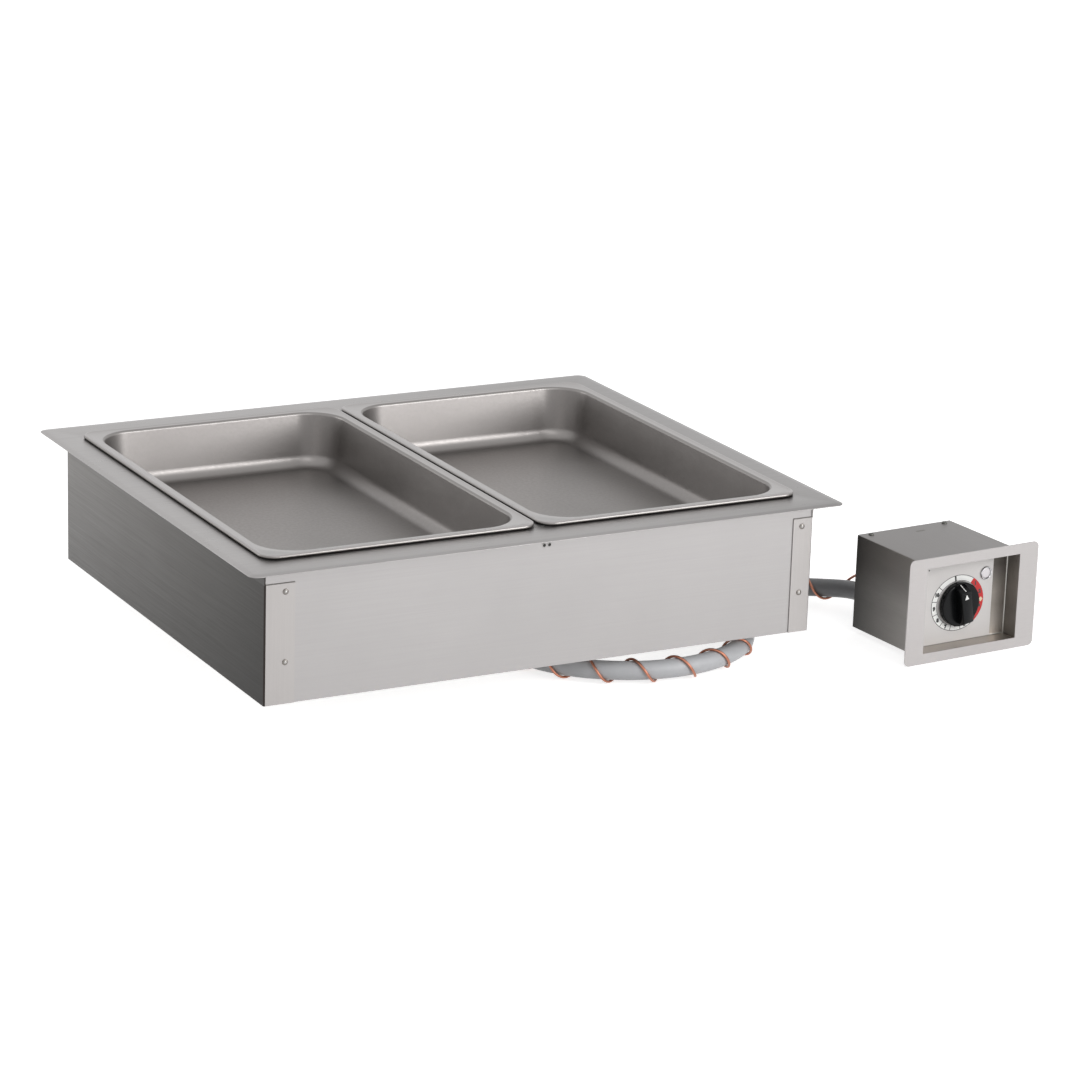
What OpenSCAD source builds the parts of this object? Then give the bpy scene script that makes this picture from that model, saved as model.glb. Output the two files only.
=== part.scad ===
// Drop-in hot food well for two full-size pans, with a remote control box on a flexible conduit.
// Frame: X to the right along the front, Y to the back, Z up. The origin is the middle of the plane
// on which the deck's edge bears, which is the top of the countertop that carries the well.

/* [Deck] */
// Width of the deck flange, left to right
deck_w = 716; // [690:1:760]
// Depth of the deck flange, front to back
deck_d = 616; // [600:1:660]
// Thickness of the deck sheet
deck_t = 1; // [0.8:0.1:1.5]
// Height of the deck's underside above the countertop
deck_rise = 1; // [0.6:0.1:2]
// Corner radius of the deck flange
deck_corner_r = 11; // [9:0.5:20]
// Width of the turned-down edge of the deck
deck_edge_w = 8; // [5:0.5:8.5]
// Width of the foot along the edge, which bears on the countertop
deck_foot_w = 3; // [1.5:0.5:3.5]
// Thickness left at the very edge of the deck
deck_edge_t = 0.8; // [0.4:0.1:1]

/* [Pans] */
// Width of one pan over its rim
pan_w = 322; // [316:1:326]
// Depth of one pan over its rim, front to back
pan_d = 527; // [515:1:532]
// Gap between the rims of the two pans
pan_gap = 4; // [2:0.5:8]
// Height of a pan from the top of its rim to its underside
pan_h = 65; // [40:1:95]
// Sheet thickness of the pans
pan_t = 0.8; // [0.6:0.1:1.2]
// Width of the rim, from its outer edge to the line of the wall
rim_w = 12.5; // [11:0.5:14]
// Thickness of the rolled bead round the rim
rim_bead = 4.5; // [3:0.1:6]
// Height of the bead's top above the rim's flat
rim_step = 0.5; // [0.3:0.1:0.8]
// Outer corner radius of the rim
rim_corner_r = 18; // [12:1:26]
// Plan radius of a pan's inside corners
pan_corner_r = 43; // [34:1:46]
// How far each wall leans in between the rim and the bottom
pan_taper = 7; // [3:0.5:12]
// Radius between a pan's walls and its bottom
pan_bottom_r = 16; // [8:1:20]
// Radius where a pan's wall turns out into the rim
pan_flare_r = 3.5; // [2:0.25:4]

/* [Well] */
// Room between a pan's walls and the deck opening
pan_clear = 6.5; // [4:0.5:8]
// Depth of the well below the countertop
well_h = 112; // [105:1:118]
// Sheet thickness of the well liner
liner_t = 1; // [0.8:0.1:1.5]
// Corner radius of the well and of the deck opening
well_corner_r = 12; // [8:1:40]
// Width of the divider bar between the pans
divider_w = 18; // [14:1:20]
// Height of the divider bar
divider_h = 14; // [10:1:20]
// Sheet thickness of the divider bar and its supports
divider_t = 1.5; // [1:0.1:2]
// Room at each end of the divider bar
divider_end_clear = 1; // [0.5:0.1:2]
// How far a divider support reaches into the well
support_reach = 14; // [8:1:20]

/* [Casing] */
// Width of the casing
casing_w = 664; // [656:1:680]
// Depth of the casing, front to back
casing_d = 564; // [545:1:580]
// Height of the casing below the countertop
casing_h = 150; // [142:1:154]
// Thickness of the casing sheets
sheet_t = 1.2; // [0.8:0.1:1.6]
// How far the left side wraps on to the front and back
wrap_left = 35; // [28:1:45]
// How far the right side wraps on to the front and back
wrap_right = 25; // [20:1:40]
// Distance from the countertop down to the top of the wraps
wrap_drop = 18; // [10:1:22]
// Height of the lips round the bottom panel
bottom_lip_h = 12; // [6:1:20]
// Side clearance between sheets that slip into each other
sheet_clear = 0.1; // [0.05:0.05:0.4]

/* [Rivets] */
// Head diameter of the panel rivets
rivet_head_d = 6.6; // [5:0.1:8]
// Head height of the panel rivets
rivet_head_h = 1.3; // [0.8:0.1:2]
// Shank diameter of the panel rivets
rivet_shank_d = 3.2; // [2.4:0.1:4]
// Length of a rivet's tail behind the sheets
rivet_tail = 1; // [0.5:0.1:2]
// Room round a rivet's shank
rivet_clear = 0.1; // [0.05:0.05:0.3]
// Distance of the right rivets from the casing's side
rivet_inset_right = 14; // [10:1:18]
// Distance of the left rivets from the casing's side
rivet_inset_left = 24; // [12:1:24]
// Depth of the upper rivets below the countertop
rivet_top = 27; // [26:1:60]
// Depth of the lower rivets below the countertop
rivet_low = 104; // [70:1:130]

/* [Heating] */
// Diameter of the heating cable
cable_d = 5; // [3:0.5:6]
// Times the cable goes round the well's walls
cable_loops = 5; // [2:1:6]
// Distance between two loops
cable_pitch = 16; // [10:1:18]
// Depth of the first loop below the countertop
cable_top = 26; // [10:1:30]
// Runs of the cable under the well's bottom
cable_runs = 8; // [4:2:8]
// Distance between two runs
run_pitch = 56; // [40:1:58]
// Length of a run under the bottom
run_l = 520; // [400:5:540]
// Room between the cable and the liner
cable_clear = 0.3; // [0.2:0.1:0.6]
// Diameter of the thermostat's bulb
bulb_d = 8; // [6:0.5:9]
// Length of the thermostat's bulb
bulb_l = 100; // [60:5:120]
// Width of the strap that holds the bulb
clip_w = 14; // [8:1:20]
// Thickness of the strap that holds the bulb
clip_t = 0.8; // [0.5:0.1:1.2]
// Room round the fittings in the insulation under the well
insulation_room = 8; // [4:0.5:12]
// Thickness of the insulation under the well
base_insulation_h = 22; // [10:1:24]

/* [Conduit] */
// Distance of the elbow under the well from the casing's right side
elbow_inset = 27; // [24:1:40]
// Distance of the elbow under the well from the casing's front
elbow_front = 172; // [150:1:200]
// Outer diameter of the conduit
conduit_d = 21.3; // [16:0.1:22]
// Diameter of the capillary tube
capillary_d = 3; // [2:0.1:3.2]
// Distance along the conduit between two turns of the capillary
capillary_pitch = 50; // [46:1:80]
// Room between the capillary's turns and the conduit
capillary_clear = 0.5; // [0.4:0.1:1]
// Width across the flats of the fittings' shoulders
fitting_flats = 30; // [26:1:31]
// Diameter of the fittings' bodies
fitting_body_d = 24; // [22:0.5:25]
// Diameter of the fittings' threads
fitting_thread_d = 20.8; // [18:0.1:21]
// Length of the fittings' threads
fitting_thread_l = 13; // [9:1:16]
// Room between a thread and its hole
thread_clear = 0.5; // [0.2:0.1:1]
// Room between the conduit's ends and the mouths of its fittings
conduit_end_clear = 0.4; // [0.3:0.1:0.8]
// Height of a locknut
locknut_h = 4; // [3:0.5:6]
// Outer diameter of the capillary grommets
grommet_d = 12; // [10:0.5:13]
// Depth of the groove round a grommet
grommet_groove = 1.6; // [1:0.1:2]
// Distance of the bottom's grommet from the elbow, to the left
grommet_left = 31; // [26:1:40]
// Distance of the bottom's grommet from the elbow, to the front
grommet_front = 24; // [0:1:30]
// Thickness of a grommet's lips
grommet_lip_t = 1.5; // [1:0.1:2]
// Room round the capillary in its grommets
grommet_clear = 0.2; // [0.1:0.05:0.4]

/* [Control box] */
// Thickness of the bezel
bezel_t = 1.5; // [1:0.1:3]
// How deep the housing is let into the bezel's back
bezel_seat = 0.5; // [0.2:0.1:0.8]
// Corner radius of the bezel
bezel_r = 6.4; // [3:0.1:10]
// Distance from the bezel's left edge to its opening
opening_left = 25; // [20:0.5:28]
// Distance from the bezel's bottom edge to its opening
opening_low = 12; // [9:0.5:14]
// Width of the bezel's opening
opening_w = 131; // [124:1:144]
// Height of the bezel's opening
opening_h = 100; // [90:1:112]
// Width of the bezel at the right of its opening
bezel_right = 26; // [20:0.5:32]
// Height of the bezel above its opening
bezel_above = 12; // [9:0.5:16]
// Depth of the recess, from the bezel's front to the faceplate
recess = 21.5; // [18:0.5:26]
// Depth of the housing behind the bezel
housing_d = 130; // [118:1:160]
// Thickness of the housing's sheets
housing_t = 1; // [0.8:0.1:1.5]
// How far the housing reaches below the bezel's opening
housing_below = 6.5; // [4:0.5:8]
// How far the housing reaches above the bezel's opening
housing_above = 4.5; // [3:0.5:6]
// Length of the back cover's flanges
cover_flange = 14; // [12:1:24]
// Head diameter of the cover screws
screw_head_d = 6.5; // [5:0.1:8]
// Head height of the cover screws
screw_head_h = 2.2; // [1:0.1:3]
// Shank diameter of the cover screws
screw_d = 3.4; // [2.4:0.1:4]
// Room round a cover screw's shank
screw_clear = 0.2; // [0.1:0.05:0.4]
// Distance of the cover screws from the housing's sides
screw_inset = 14; // [10:1:30]
// Length of the locating slot in the housing's top
slot_l = 8; // [4:0.5:14]
// Turn of the control box about its vertical
box_yaw = 4; // [0:0.5:8]

/* [Knob and light] */
// Distance from the bezel's left edge to the knob
knob_x = 86.3; // [84:0.1:88]
// Distance from the bezel's bottom edge to the knob
knob_z = 57.8; // [54:0.1:62]
// Diameter of the knob's disc
knob_d = 52; // [44:1:56]
// Height of the knob's disc
knob_disc_h = 7.5; // [5:0.5:9]
// Height of the grip above the disc
grip_h = 11.5; // [8:0.5:12]
// Width of the grip
grip_w = 14; // [10:0.5:18]
// Length of the grip
grip_l = 45; // [36:1:47]
// Room between the knob and the dial
knob_clear = 0.8; // [0.4:0.1:1.5]
// Diameter of the thermostat's spindle
spindle_d = 6; // [5:0.1:7]
// Room round the spindle in its bores
spindle_clear = 0.2; // [0.1:0.05:0.4]
// Width of the dial's plate
dial_w = 110; // [104:1:114]
// Thickness of the dial's plate
dial_t = 0.4; // [0.2:0.1:0.8]
// Width of the thermostat's body
thermostat_w = 42; // [36:1:46]
// Height of the thermostat's body
thermostat_h = 38; // [34:1:44]
// Depth of the thermostat's body
thermostat_d = 24; // [16:1:30]
// Distance from the bezel's left edge to the indicator light
light_x = 124.7; // [122:0.1:126]
// Distance from the bezel's bottom edge to the indicator light
light_z = 88.1; // [84:0.1:92]
// Diameter of the indicator's ring
light_ring_d = 16; // [13:0.5:18]
// Diameter of the indicator's lens
light_lens_d = 12; // [8:0.5:12]

/* [Hidden] */
$fn = 64;
over = 1;

steel = [0.76, 0.755, 0.75];
satin = [0.62, 0.61, 0.60];
dark_steel = [0.45, 0.44, 0.43];
galvanised = [0.66, 0.68, 0.70];
copper = [0.62, 0.40, 0.31];
black = [0.05, 0.05, 0.06];

// The deck's top, the pans and the opening that they drop into
deck_top = deck_rise + deck_t;
pan_x = (pan_w + pan_gap) / 2;
wall_w = pan_w - 2 * rim_w;
wall_d = pan_d - 2 * rim_w;
well_w = 2 * pan_x + wall_w + 2 * (pan_t + pan_clear);
well_d = wall_d + 2 * (pan_t + pan_clear);
rim_top = deck_top + rim_bead;
rim_plate_t = 1;
rim_flat = 1;

// The wall of a pan, as distances from the centre of a corner and heights below the rim's flat
floor_z = rim_step + pan_t - pan_h;
lean = atan(pan_taper / -floor_z);
foot_x = pan_corner_r - pan_taper;
bottom_x = foot_x + pan_bottom_r * tan(lean) - pan_bottom_r / cos(lean);
flare_x = foot_x + (-pan_flare_r - floor_z) * tan(lean) + pan_flare_r / cos(lean);
rim_hole_r = round(100 * (flare_x + rim_flat)) / 100;

// The flare of a pan, inside and outside, and the level cut where its walls end and the flare begins
flare_in = arc(flare_x, -pan_flare_r, pan_flare_r, 180 - lean, 90, 5);
flare_out = arc(flare_x, -pan_flare_r, pan_flare_r - pan_t, 180 - lean, 90, 5);
wall_end_out = flare_out[0];
wall_end_in = flare_in[0] + (wall_end_out[1] - flare_in[0][1]) * [tan(lean), 1];

// Divider
divider_l = well_d - 2 * divider_end_clear;
seat_z = deck_top - divider_h;

// Heating cable: distances of its centre line from the middle of the well
cable_x = well_w / 2 + liner_t + cable_clear + cable_d / 2;
cable_y = well_d / 2 + liner_t + cable_clear + cable_d / 2;
cable_corner_r = well_corner_r + liner_t + cable_clear + cable_d / 2;
base_cable_z = -well_h - cable_clear - cable_d / 2;

// Conduit: the points its centre line follows to the control box, from the elbow's hole in the bottom
conduit_points = [
    [0, -38, -24], [0, -59, -24], [-2, -82, -24], [-13, -109, -24],
    [-39, -137, -24], [-77, -159, -24], [-121, -169, -24], [-166, -166, -24],
    [-209, -150, -24], [-245, -123, -24], [-270, -85, -24], [-282, -41, -24],
    [-277, 6, -24], [-259, 48, -24], [-229, 82, -24], [-191, 106, -24],
    [-147, 119, -24], [-101, 122, -24], [-55, 117, -24], [-10, 105, -24],
    [33, 87, -24], [74, 66, -23], [109, 42, -21], [140, 16, -18],
    [162, -8, -15], [174, -32, -11], [177.5, -54, -10], [179, -75, -10]
];
elbow_x = casing_w / 2 - elbow_inset;
elbow_y = elbow_front - casing_d / 2;
conduit_route = [for (p = conduit_points) p + [elbow_x, elbow_y, -casing_h]];
conduit_last = len(conduit_route) - 1;
conduit_r = conduit_d / 2;
winding_r = conduit_r + capillary_clear + capillary_d / 2;

// Elbow under the well: its bend, its gland nut and the place of its thread
elbow_bend_r = 14;
gland_l = 18;
gland_lip = 2;
shoulder_h = 6;
conduit_z = conduit_route[0][2];
bulb_x = 150;
bulb_y = run_pitch * round(elbow_y / run_pitch);
bulb_z = -well_h - bulb_d / 2;
grommet_x = elbow_x - grommet_left;
grommet_y = elbow_y - grommet_front;

// A grommet's groove is narrower than its lips, and its sheet's hole is a little wider than the groove
grommet_groove_d = grommet_d - 2 * grommet_groove;
grommet_hole_d = grommet_groove_d + grommet_clear;

// Control box: its own frame has the bezel's front at y = 0 and the bezel's corner at the origin
connector_l = 20;
connector_shoulder = 5;
connector_neck = 3;
connector_x = 69;
connector_z = 28;
back_y = bezel_t + housing_d;
box_grommet_z = connector_z + 26;
mouth_y = back_y + connector_l;
box_end = conduit_route[conduit_last];
box_x = box_end[0] - connector_x * cos(box_yaw) + mouth_y * sin(box_yaw);
box_y = box_end[1] - connector_x * sin(box_yaw) - mouth_y * cos(box_yaw);
box_z = box_end[2] - connector_z;
bezel_w = opening_left + opening_w + bezel_right;
bezel_h = opening_low + opening_h + bezel_above;
housing_w = opening_w + 2 * housing_t;
housing_left = opening_left - housing_t;
housing_low = opening_low - housing_below;
housing_top = opening_low + opening_h + housing_above;
housing_front = bezel_t - bezel_seat;
dial_y = recess - dial_t;
dial_margin = 0.5;
spindle_hole_d = spindle_d + 4;
spindle_seat = 4;
light_hole_d = light_lens_d - 1.6;
knob_back_y = dial_y - knob_clear;
knob_h = knob_disc_h + grip_h;
knob_bore_l = 12;
thermostat_x = knob_x - thermostat_w / 2;
thermostat_z = knob_z - thermostat_h / 2;
thermostat_y = recess + housing_t;

// Plain helpers

function unit(v) = v / norm(v);
function arc(cx, cy, r, from, to, n) =
    [for (i = [0:n]) [cx + r * cos(from + (to - from) * i / n), cy + r * sin(from + (to - from) * i / n)]];
function back_to_front(list) = [for (i = [len(list) - 1:-1:0]) list[i]];
function cubic_b(a, b, c, d, t) =
    (pow(1 - t, 3) * a + (3 * pow(t, 3) - 6 * t * t + 4) * b
     + (-3 * pow(t, 3) + 3 * t * t + 3 * t + 1) * c + pow(t, 3) * d) / 6;

// A point of the smooth line through the route at u, which runs from 0 to the last point's number
function route_point(i) =
    i < 0 ? 2 * conduit_route[0] - conduit_route[1]
    : i > conduit_last ? 2 * conduit_route[conduit_last] - conduit_route[conduit_last - 1]
    : conduit_route[i];
function on_route(u) =
    let (i = min(floor(u), conduit_last - 1))
    cubic_b(route_point(i - 1), route_point(i), route_point(i + 1), route_point(i + 2), u - i);
function route_heading(u) =
    unit(on_route(min(u + 0.01, conduit_last)) - on_route(max(u - 0.01, 0)));

// A smooth line between two points with a heading at each end
function link(p, dp, q, dq, n) =
    [for (i = [1:n - 1]) let (t = i / n)
        pow(1 - t, 3) * p + 3 * pow(1 - t, 2) * t * (p + dp) + 3 * (1 - t) * t * t * (q - dq) + pow(t, 3) * q];

// Directions across a path, carried along it without twist
function path_heading(path, i) = unit(path[min(i + 1, len(path) - 1)] - path[max(i - 1, 0)]);
function across(v, heading) = unit(v - (v * heading) * heading);
function path_sides(path, first) =
    [for (i = 0, v = across(first, path_heading(path, 0)); i < len(path);
          v = across(v, path_heading(path, i + 1)), i = i + 1) v];

// A round tube along a path: rings of points joined by triangles
module tube(path, r, sides, first) {
    side = path_sides(path, first);
    points = [for (i = [0:len(path) - 1]) let (h = path_heading(path, i), w = cross(h, side[i]))
        for (k = [0:sides - 1]) path[i] + r * (cos(360 * k / sides) * side[i] + sin(360 * k / sides) * w)];
    last = (len(path) - 1) * sides;
    faces = concat(
        [for (k = [1:sides - 2]) [0, k, k + 1]],
        [for (k = [1:sides - 2]) [last, last + k + 1, last + k]],
        [for (i = [0:len(path) - 2]) for (k = [0:sides - 1])
            let (a = i * sides + k, b = i * sides + (k + 1) % sides) [a, a + sides, b]],
        [for (i = [0:len(path) - 2]) for (k = [0:sides - 1])
            let (a = i * sides + k, b = i * sides + (k + 1) % sides) [b, a + sides, b + sides]]
    );
    polyhedron(points, faces);
}

// A rectangle with round corners
module rounded(w, d, r) {
    square([w - 2 * r, d], center = true);
    square([w, d - 2 * r], center = true);
    for (x = [-1, 1], y = [-1, 1])
        translate([x * (w / 2 - r), y * (d / 2 - r)])
            circle(r);
}

// Carries a profile round a rectangle with round corners, x being the distance from a corner's centre
module carried_round(w, d, r) {
    for (turn = [0, 180]) rotate(turn) {
        translate([w / 2 - r, d / 2 - r]) rotate_extrude(angle = 90) children();
        translate([w / 2 - r, d / 2 - r]) rotate([90, 0, 0]) linear_extrude(d - 2 * r) children();
        translate([r - w / 2, d / 2 - r]) rotate(90) rotate_extrude(angle = 90) children();
        translate([r - w / 2, d / 2 - r]) rotate(90) rotate([90, 0, 0]) linear_extrude(w - 2 * r) children();
    }
}

module block(from, to) {
    translate(from) cube(to - from);
}

module rod_y(x, z, from_y, to_y, d) {
    translate([x, from_y, z]) rotate([-90, 0, 0]) cylinder(h = to_y - from_y, d = d);
}

module hexagon_y(x, z, from_y, to_y, flats) {
    translate([x, from_y, z]) rotate([-90, 0, 0]) cylinder(h = to_y - from_y, d = flats / cos(30), $fn = 6);
}

module at_box() {
    translate([box_x, box_y, box_z]) rotate(box_yaw) children();
}

// Well and deck

module deck_flange() {
    color(steel) difference() {
        union() {
            carried_round(deck_w, deck_d, deck_corner_r)
                polygon([[0, deck_rise], [deck_corner_r - deck_edge_w, deck_rise],
                         [deck_corner_r - deck_foot_w, 0], [deck_corner_r, 0], [deck_corner_r, deck_edge_t],
                         [deck_corner_r - deck_edge_w, deck_top], [0, deck_top]]);
            block([deck_corner_r - deck_w / 2, deck_corner_r - deck_d / 2, deck_rise],
                  [deck_w / 2 - deck_corner_r, deck_d / 2 - deck_corner_r, deck_top]);
        }
        translate([0, 0, -over]) linear_extrude(deck_top + 2 * over) rounded(well_w, well_d, well_corner_r);
    }
}

module well_liner() {
    color(satin) translate([0, 0, -well_h]) difference() {
        linear_extrude(well_h + deck_rise)
            rounded(well_w + 2 * liner_t, well_d + 2 * liner_t, well_corner_r + liner_t);
        translate([0, 0, liner_t]) linear_extrude(well_h + deck_rise)
            rounded(well_w, well_d, well_corner_r);
    }
}

// Two angles on the liner's front and back walls, which the divider bar stands on
module divider_supports() {
    color(satin) for (turn = [0, 180]) rotate(turn) {
        block([-divider_w / 2, well_d / 2 - support_reach, seat_z - divider_t],
              [divider_w / 2, well_d / 2, seat_z]);
        block([-divider_w / 2, well_d / 2 - divider_t, seat_z - support_reach],
              [divider_w / 2, well_d / 2, seat_z - divider_t]);
    }
}

module divider_bar() {
    color(satin) difference() {
        block([-divider_w / 2, -divider_l / 2, seat_z], [divider_w / 2, divider_l / 2, deck_top]);
        block([divider_t - divider_w / 2, -divider_l / 2 - over, seat_z - over],
              [divider_w / 2 - divider_t, divider_l / 2 + over, deck_top - divider_t]);
    }
}

// A drawn pan: leaning walls and a round foot, up to where the flare into the rim begins
module pan_walls() {
    translate([0, 0, rim_top - rim_step]) {
        carried_round(wall_w, wall_d, pan_corner_r)
            polygon(concat(
                [[0, floor_z]],
                arc(bottom_x, floor_z + pan_bottom_r, pan_bottom_r, -90, -lean, 8),
                [wall_end_in, wall_end_out],
                back_to_front(arc(bottom_x, floor_z + pan_bottom_r, pan_bottom_r + pan_t, -90, -lean, 8)),
                [[0, floor_z - pan_t]]
            ));
        block([pan_corner_r - wall_w / 2, pan_corner_r - wall_d / 2, floor_z - pan_t],
              [wall_w / 2 - pan_corner_r, wall_d / 2 - pan_corner_r, floor_z]);
    }
}

// The flare, the flat rim and the rolled bead round it, which carry on the walls' sheet
module pan_rim() {
    bead_r = rim_bead / 2;
    translate([0, 0, rim_top - rim_step]) {
        carried_round(wall_w, wall_d, pan_corner_r)
            polygon(concat([wall_end_in], flare_in, [[rim_hole_r, 0], [rim_hole_r, -pan_t]],
                           back_to_front(flare_out)));
        translate([0, 0, -rim_plate_t]) linear_extrude(rim_plate_t) difference() {
            rounded(pan_w - rim_bead, pan_d - rim_bead, rim_corner_r - bead_r);
            rounded(wall_w + 2 * (rim_hole_r - pan_corner_r),
                    wall_d + 2 * (rim_hole_r - pan_corner_r), rim_hole_r);
        }
    }
    translate([0, 0, rim_top - bead_r])
        carried_round(pan_w - rim_bead, pan_d - rim_bead, rim_corner_r - bead_r)
            translate([rim_corner_r - bead_r, 0])
                circle(bead_r);
}

module left_pan() {
    color(satin) translate([-pan_x, 0, 0]) pan_walls();
}

module left_pan_rim() {
    color(satin) translate([-pan_x, 0, 0]) pan_rim();
}

module right_pan() {
    color(satin) translate([pan_x, 0, 0]) pan_walls();
}

module right_pan_rim() {
    color(satin) translate([pan_x, 0, 0]) pan_rim();
}

// Heating and insulation

// One corner of a loop round the well, level with the share of the loop that is done
function loop_corner(quarter, z_from, z_to) =
    let (sx = quarter == 0 || quarter == 3 ? 1 : -1, sy = quarter < 2 ? 1 : -1)
    [for (p = arc(sx * (cable_x - cable_corner_r), sy * (cable_y - cable_corner_r),
                  cable_corner_r, 90 * quarter, 90 * quarter + 90, 6))
        [p[0], p[1], z_from + (z_to - z_from) * (quarter + 0.5) / 4]];

// One pair of runs under the bottom, joined by half turns
function run_bend(i, sx) =
    [for (p = arc(sx * run_l / 2, run_pitch * (cable_runs / 2 - i - 1), run_pitch / 2,
                  90, sx > 0 ? -90 : 270, 6)) [p[0], p[1], base_cable_z]];

module heating_cable() {
    low_z = -cable_top - cable_loops * cable_pitch;
    round_well = [for (i = [0:cable_loops - 1]) for (q = [0:3])
        each loop_corner(q, -cable_top - i * cable_pitch, -cable_top - (i + 1) * cable_pitch)];
    first_run_y = run_pitch * (cable_runs / 2 - 0.5);
    round_edge = arc(well_w / 2 + liner_t, -well_h, cable_clear + cable_d / 2, 0, -90, 4);
    drop = concat(
        [[cable_x, first_run_y - 30, low_z]],
        [for (i = [0:4]) [round_edge[i][0], first_run_y - 12 + 3 * i, round_edge[i][1]]],
        [[cable_x - 12, first_run_y, base_cable_z]]
    );
    under_well = [for (i = [0:cable_runs - 2]) each run_bend(i, i % 2 == 0 ? -1 : 1)];
    run_end = [[run_l / 2, first_run_y - run_pitch * (cable_runs - 1), base_cable_z]];
    color(dark_steel) tube(concat(round_well, drop, under_well, run_end), cable_d / 2, 6, [0, 0, 1]);
}

module insulation_wrap() {
    inner_w = 2 * cable_x + cable_d + 2 * cable_clear;
    inner_d = 2 * cable_y + cable_d + 2 * cable_clear;
    outer_w = casing_w - 2 * (sheet_t + cable_clear);
    outer_d = casing_d - 2 * (2 * sheet_t + rivet_tail + cable_clear);
    color("khaki") translate([0, 0, -well_h]) linear_extrude(well_h - cable_clear) difference() {
        square([outer_w, outer_d], center = true);
        rounded(inner_w, inner_d, cable_corner_r + cable_d / 2 + cable_clear);
    }
}

module insulation_base() {
    w = casing_w - 4 * sheet_t - 2 * cable_clear;
    d = casing_d - 6 * sheet_t - 2 * cable_clear;
    color("khaki") translate([0, 0, sheet_t - casing_h]) difference() {
        translate([-w / 2, -d / 2, 0]) cube([w, d, base_insulation_h]);
        translate([elbow_x, elbow_y, -over])
            cylinder(h = base_insulation_h + 2 * over, d = fitting_flats / cos(30) + insulation_room);
        translate([grommet_x, grommet_y, -over])
            cylinder(h = base_insulation_h + 2 * over, d = grommet_d + insulation_room);
    }
}

module thermostat_bulb() {
    color(copper) translate([bulb_x, bulb_y, bulb_z]) rotate([0, 90, 0]) cylinder(h = bulb_l, d = bulb_d);
}

// A strap under the bulb, with a foot on each side against the well's bottom
module bulb_clip() {
    inner_r = bulb_d / 2 + spindle_clear / 2;
    foot = 9;
    color(galvanised) translate([bulb_x + bulb_l / 2 - clip_w / 2, bulb_y, -well_h])
        rotate([90, 0, 90]) linear_extrude(clip_w) {
            difference() {
                union() {
                    translate([0, -bulb_d / 2]) circle(inner_r + clip_t);
                    translate([-inner_r - clip_t, -bulb_d / 2]) square([2 * (inner_r + clip_t), bulb_d / 2]);
                }
                translate([0, -bulb_d / 2]) circle(inner_r);
                translate([-inner_r, -bulb_d / 2]) square([2 * inner_r, bulb_d]);
            }
            for (s = [-1, 1])
                translate([s > 0 ? inner_r : -inner_r - foot, -clip_t]) square([foot, clip_t]);
        }
}

// Casing

module rivet_holes(inset, side) {
    for (z = [rivet_top, rivet_low], y = [-1, 1])
        translate([side * (casing_w / 2 - inset), y * casing_d / 2, -z])
            rotate([90, 0, 0])
                cylinder(h = 8 * sheet_t, d = rivet_shank_d + 2 * rivet_clear, center = true);
}

// A side sheet that wraps on to the front and back, its wraps stopping short of the flange
module side_panel(side, wrap, inset) {
    edge = side * casing_w / 2;
    inside = edge - side * sheet_t;
    wrap_end = edge - side * wrap;
    difference() {
        translate([0, 0, -casing_h]) linear_extrude(casing_h + deck_rise) {
            translate([min(edge, inside), -casing_d / 2]) square([sheet_t, casing_d]);
            for (y = [-casing_d / 2, casing_d / 2 - sheet_t])
                translate([min(edge, wrap_end), y]) square([wrap, sheet_t]);
        }
        for (y = [-1, 1])
            translate([(inside + wrap_end) / 2, y * casing_d / 2, 0])
                cube([abs(inside - wrap_end), 4 * sheet_t, 2 * wrap_drop], center = true);
        rivet_holes(inset, side);
    }
}

module left_side_panel() {
    color(dark_steel) side_panel(-1, wrap_left, rivet_inset_left);
}

module right_side_panel() {
    color(steel) side_panel(1, wrap_right, rivet_inset_right);
}

module end_panel(y_side) {
    w = casing_w - 2 * (sheet_t + sheet_clear);
    y = y_side * (casing_d / 2 - 1.5 * sheet_t);
    difference() {
        translate([0, y, (deck_rise - casing_h) / 2]) cube([w, sheet_t, casing_h + deck_rise], center = true);
        rivet_holes(rivet_inset_left, -1);
        rivet_holes(rivet_inset_right, 1);
    }
}

module front_panel() {
    color(steel) end_panel(-1);
}

module back_panel() {
    color(steel) end_panel(1);
}

module bottom_panel() {
    w = casing_w - 2 * (sheet_t + sheet_clear);
    d = casing_d - 2 * (2 * sheet_t + sheet_clear);
    color(dark_steel) translate([0, 0, -casing_h]) difference() {
        translate([-w / 2, -d / 2, 0]) cube([w, d, bottom_lip_h]);
        translate([sheet_t - w / 2, sheet_t - d / 2, sheet_t])
            cube([w - 2 * sheet_t, d - 2 * sheet_t, bottom_lip_h]);
        translate([elbow_x, elbow_y, -over])
            cylinder(h = sheet_t + 2 * over, d = fitting_thread_d + 2 * thread_clear);
        translate([grommet_x, grommet_y, -over])
            cylinder(h = sheet_t + 2 * over, d = grommet_hole_d);
    }
}

// Blind rivets: a low domed head outside and a shank through both sheets
module panel_rivets() {
    for (y = [-1, 1], z = [rivet_top, rivet_low],
         x = [rivet_inset_left - casing_w / 2, casing_w / 2 - rivet_inset_right])
        color(galvanised) translate([x, y * casing_d / 2, -z]) rotate([-90 * y, 0, 0]) {
            cylinder(h = rivet_head_h, d1 = rivet_head_d, d2 = rivet_head_d * 0.6);
            translate([0, 0, -2 * sheet_t - rivet_tail])
                cylinder(h = 2 * sheet_t + rivet_tail + over / 2, d = rivet_shank_d);
        }
}

// Conduit and capillary

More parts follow.
